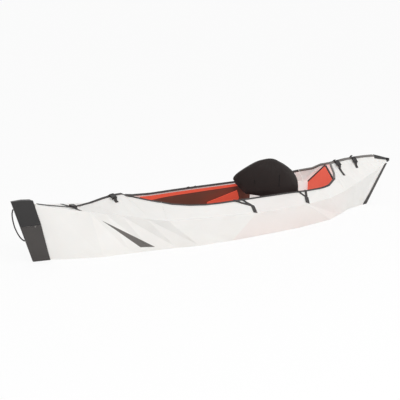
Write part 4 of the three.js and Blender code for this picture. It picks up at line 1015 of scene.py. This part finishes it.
def add_floor():
    material, tree, shader = new_finish("floor", FLOOR_ROUGHNESS)
    shader.inputs["Base Color"].default_value = FLOOR_WHITE
    own = node(tree, "ShaderNodeEmission", values={"Color": WHITE, "Strength": 1.0})
    mix = node(tree, "ShaderNodeMixShader", values={0: 0.0})
    path = node(tree, "ShaderNodeLightPath")
    share = node(tree, "ShaderNodeMath", operation="MULTIPLY", values={1: FLOOR_OWN_LIGHT})
    out = tree.nodes["Material Output"]
    wire(tree, (path.outputs["Is Camera Ray"], share.inputs[0]), (share.outputs[0], mix.inputs[0]),
         (shader.outputs[0], mix.inputs[1]), (own.outputs[0], mix.inputs[2]),
         (mix.outputs[0], out.inputs["Surface"]))
    data = bpy.data.meshes.new("floor")
    half = FLOOR_SIZE / 2
    corners = [(-half, -half, 0), (half, -half, 0), (half, half, 0), (-half, half, 0)]
    data.from_pydata(corners, [], [(0, 1, 2, 3)])
    data.materials.append(material)
    floor = add_object("floor", data)
    return floor


print("floor:", add_floor().name)

# %% World
WORLD_LEVEL = 0.72


def add_world():
    world = bpy.data.worlds.new("studio")
    bpy.context.scene.world = world
    world.use_nodes = True
    tree = world.node_tree
    shade = tree.nodes["Background"]
    shade.inputs["Color"].default_value = WHITE
    path = node(tree, "ShaderNodeLightPath")
    seen = node(tree, "ShaderNodeMath", operation="MAXIMUM")
    clear = node(tree, "ShaderNodeMath", operation="MAXIMUM")
    level = node(tree, "ShaderNodeMapRange", values={"To Min": WORLD_LEVEL, "To Max": 1.0})
    wire(tree, (path.outputs["Is Camera Ray"], seen.inputs[0]),
         (path.outputs["Is Glossy Ray"], seen.inputs[1]),
         (seen.outputs[0], clear.inputs[0]), (path.outputs["Is Transmission Ray"], clear.inputs[1]),
         (clear.outputs[0], level.inputs[0]), (level.outputs[0], shade.inputs["Strength"]))
    return world


print("world:", add_world().name)

# %% Lamps
LAMPS = (("key", (3.2, 5.2, 4.6), 3.6, 100.0), ("fill", (-2.0, 5.2, 3.0), 3.0, 58.0))


def add_lamp(name, place_at, size, watts):
    data = bpy.data.lights.new(name, "AREA")
    data.size = size
    data.energy = watts
    made = add_object(name, data)
    made.location = place_at
    made.rotation_euler = (-Vector(place_at)).to_track_quat("-Z", "Y").to_euler()


for lamp in LAMPS:
    add_lamp(*lamp)
print("lamps:", len(LAMPS))
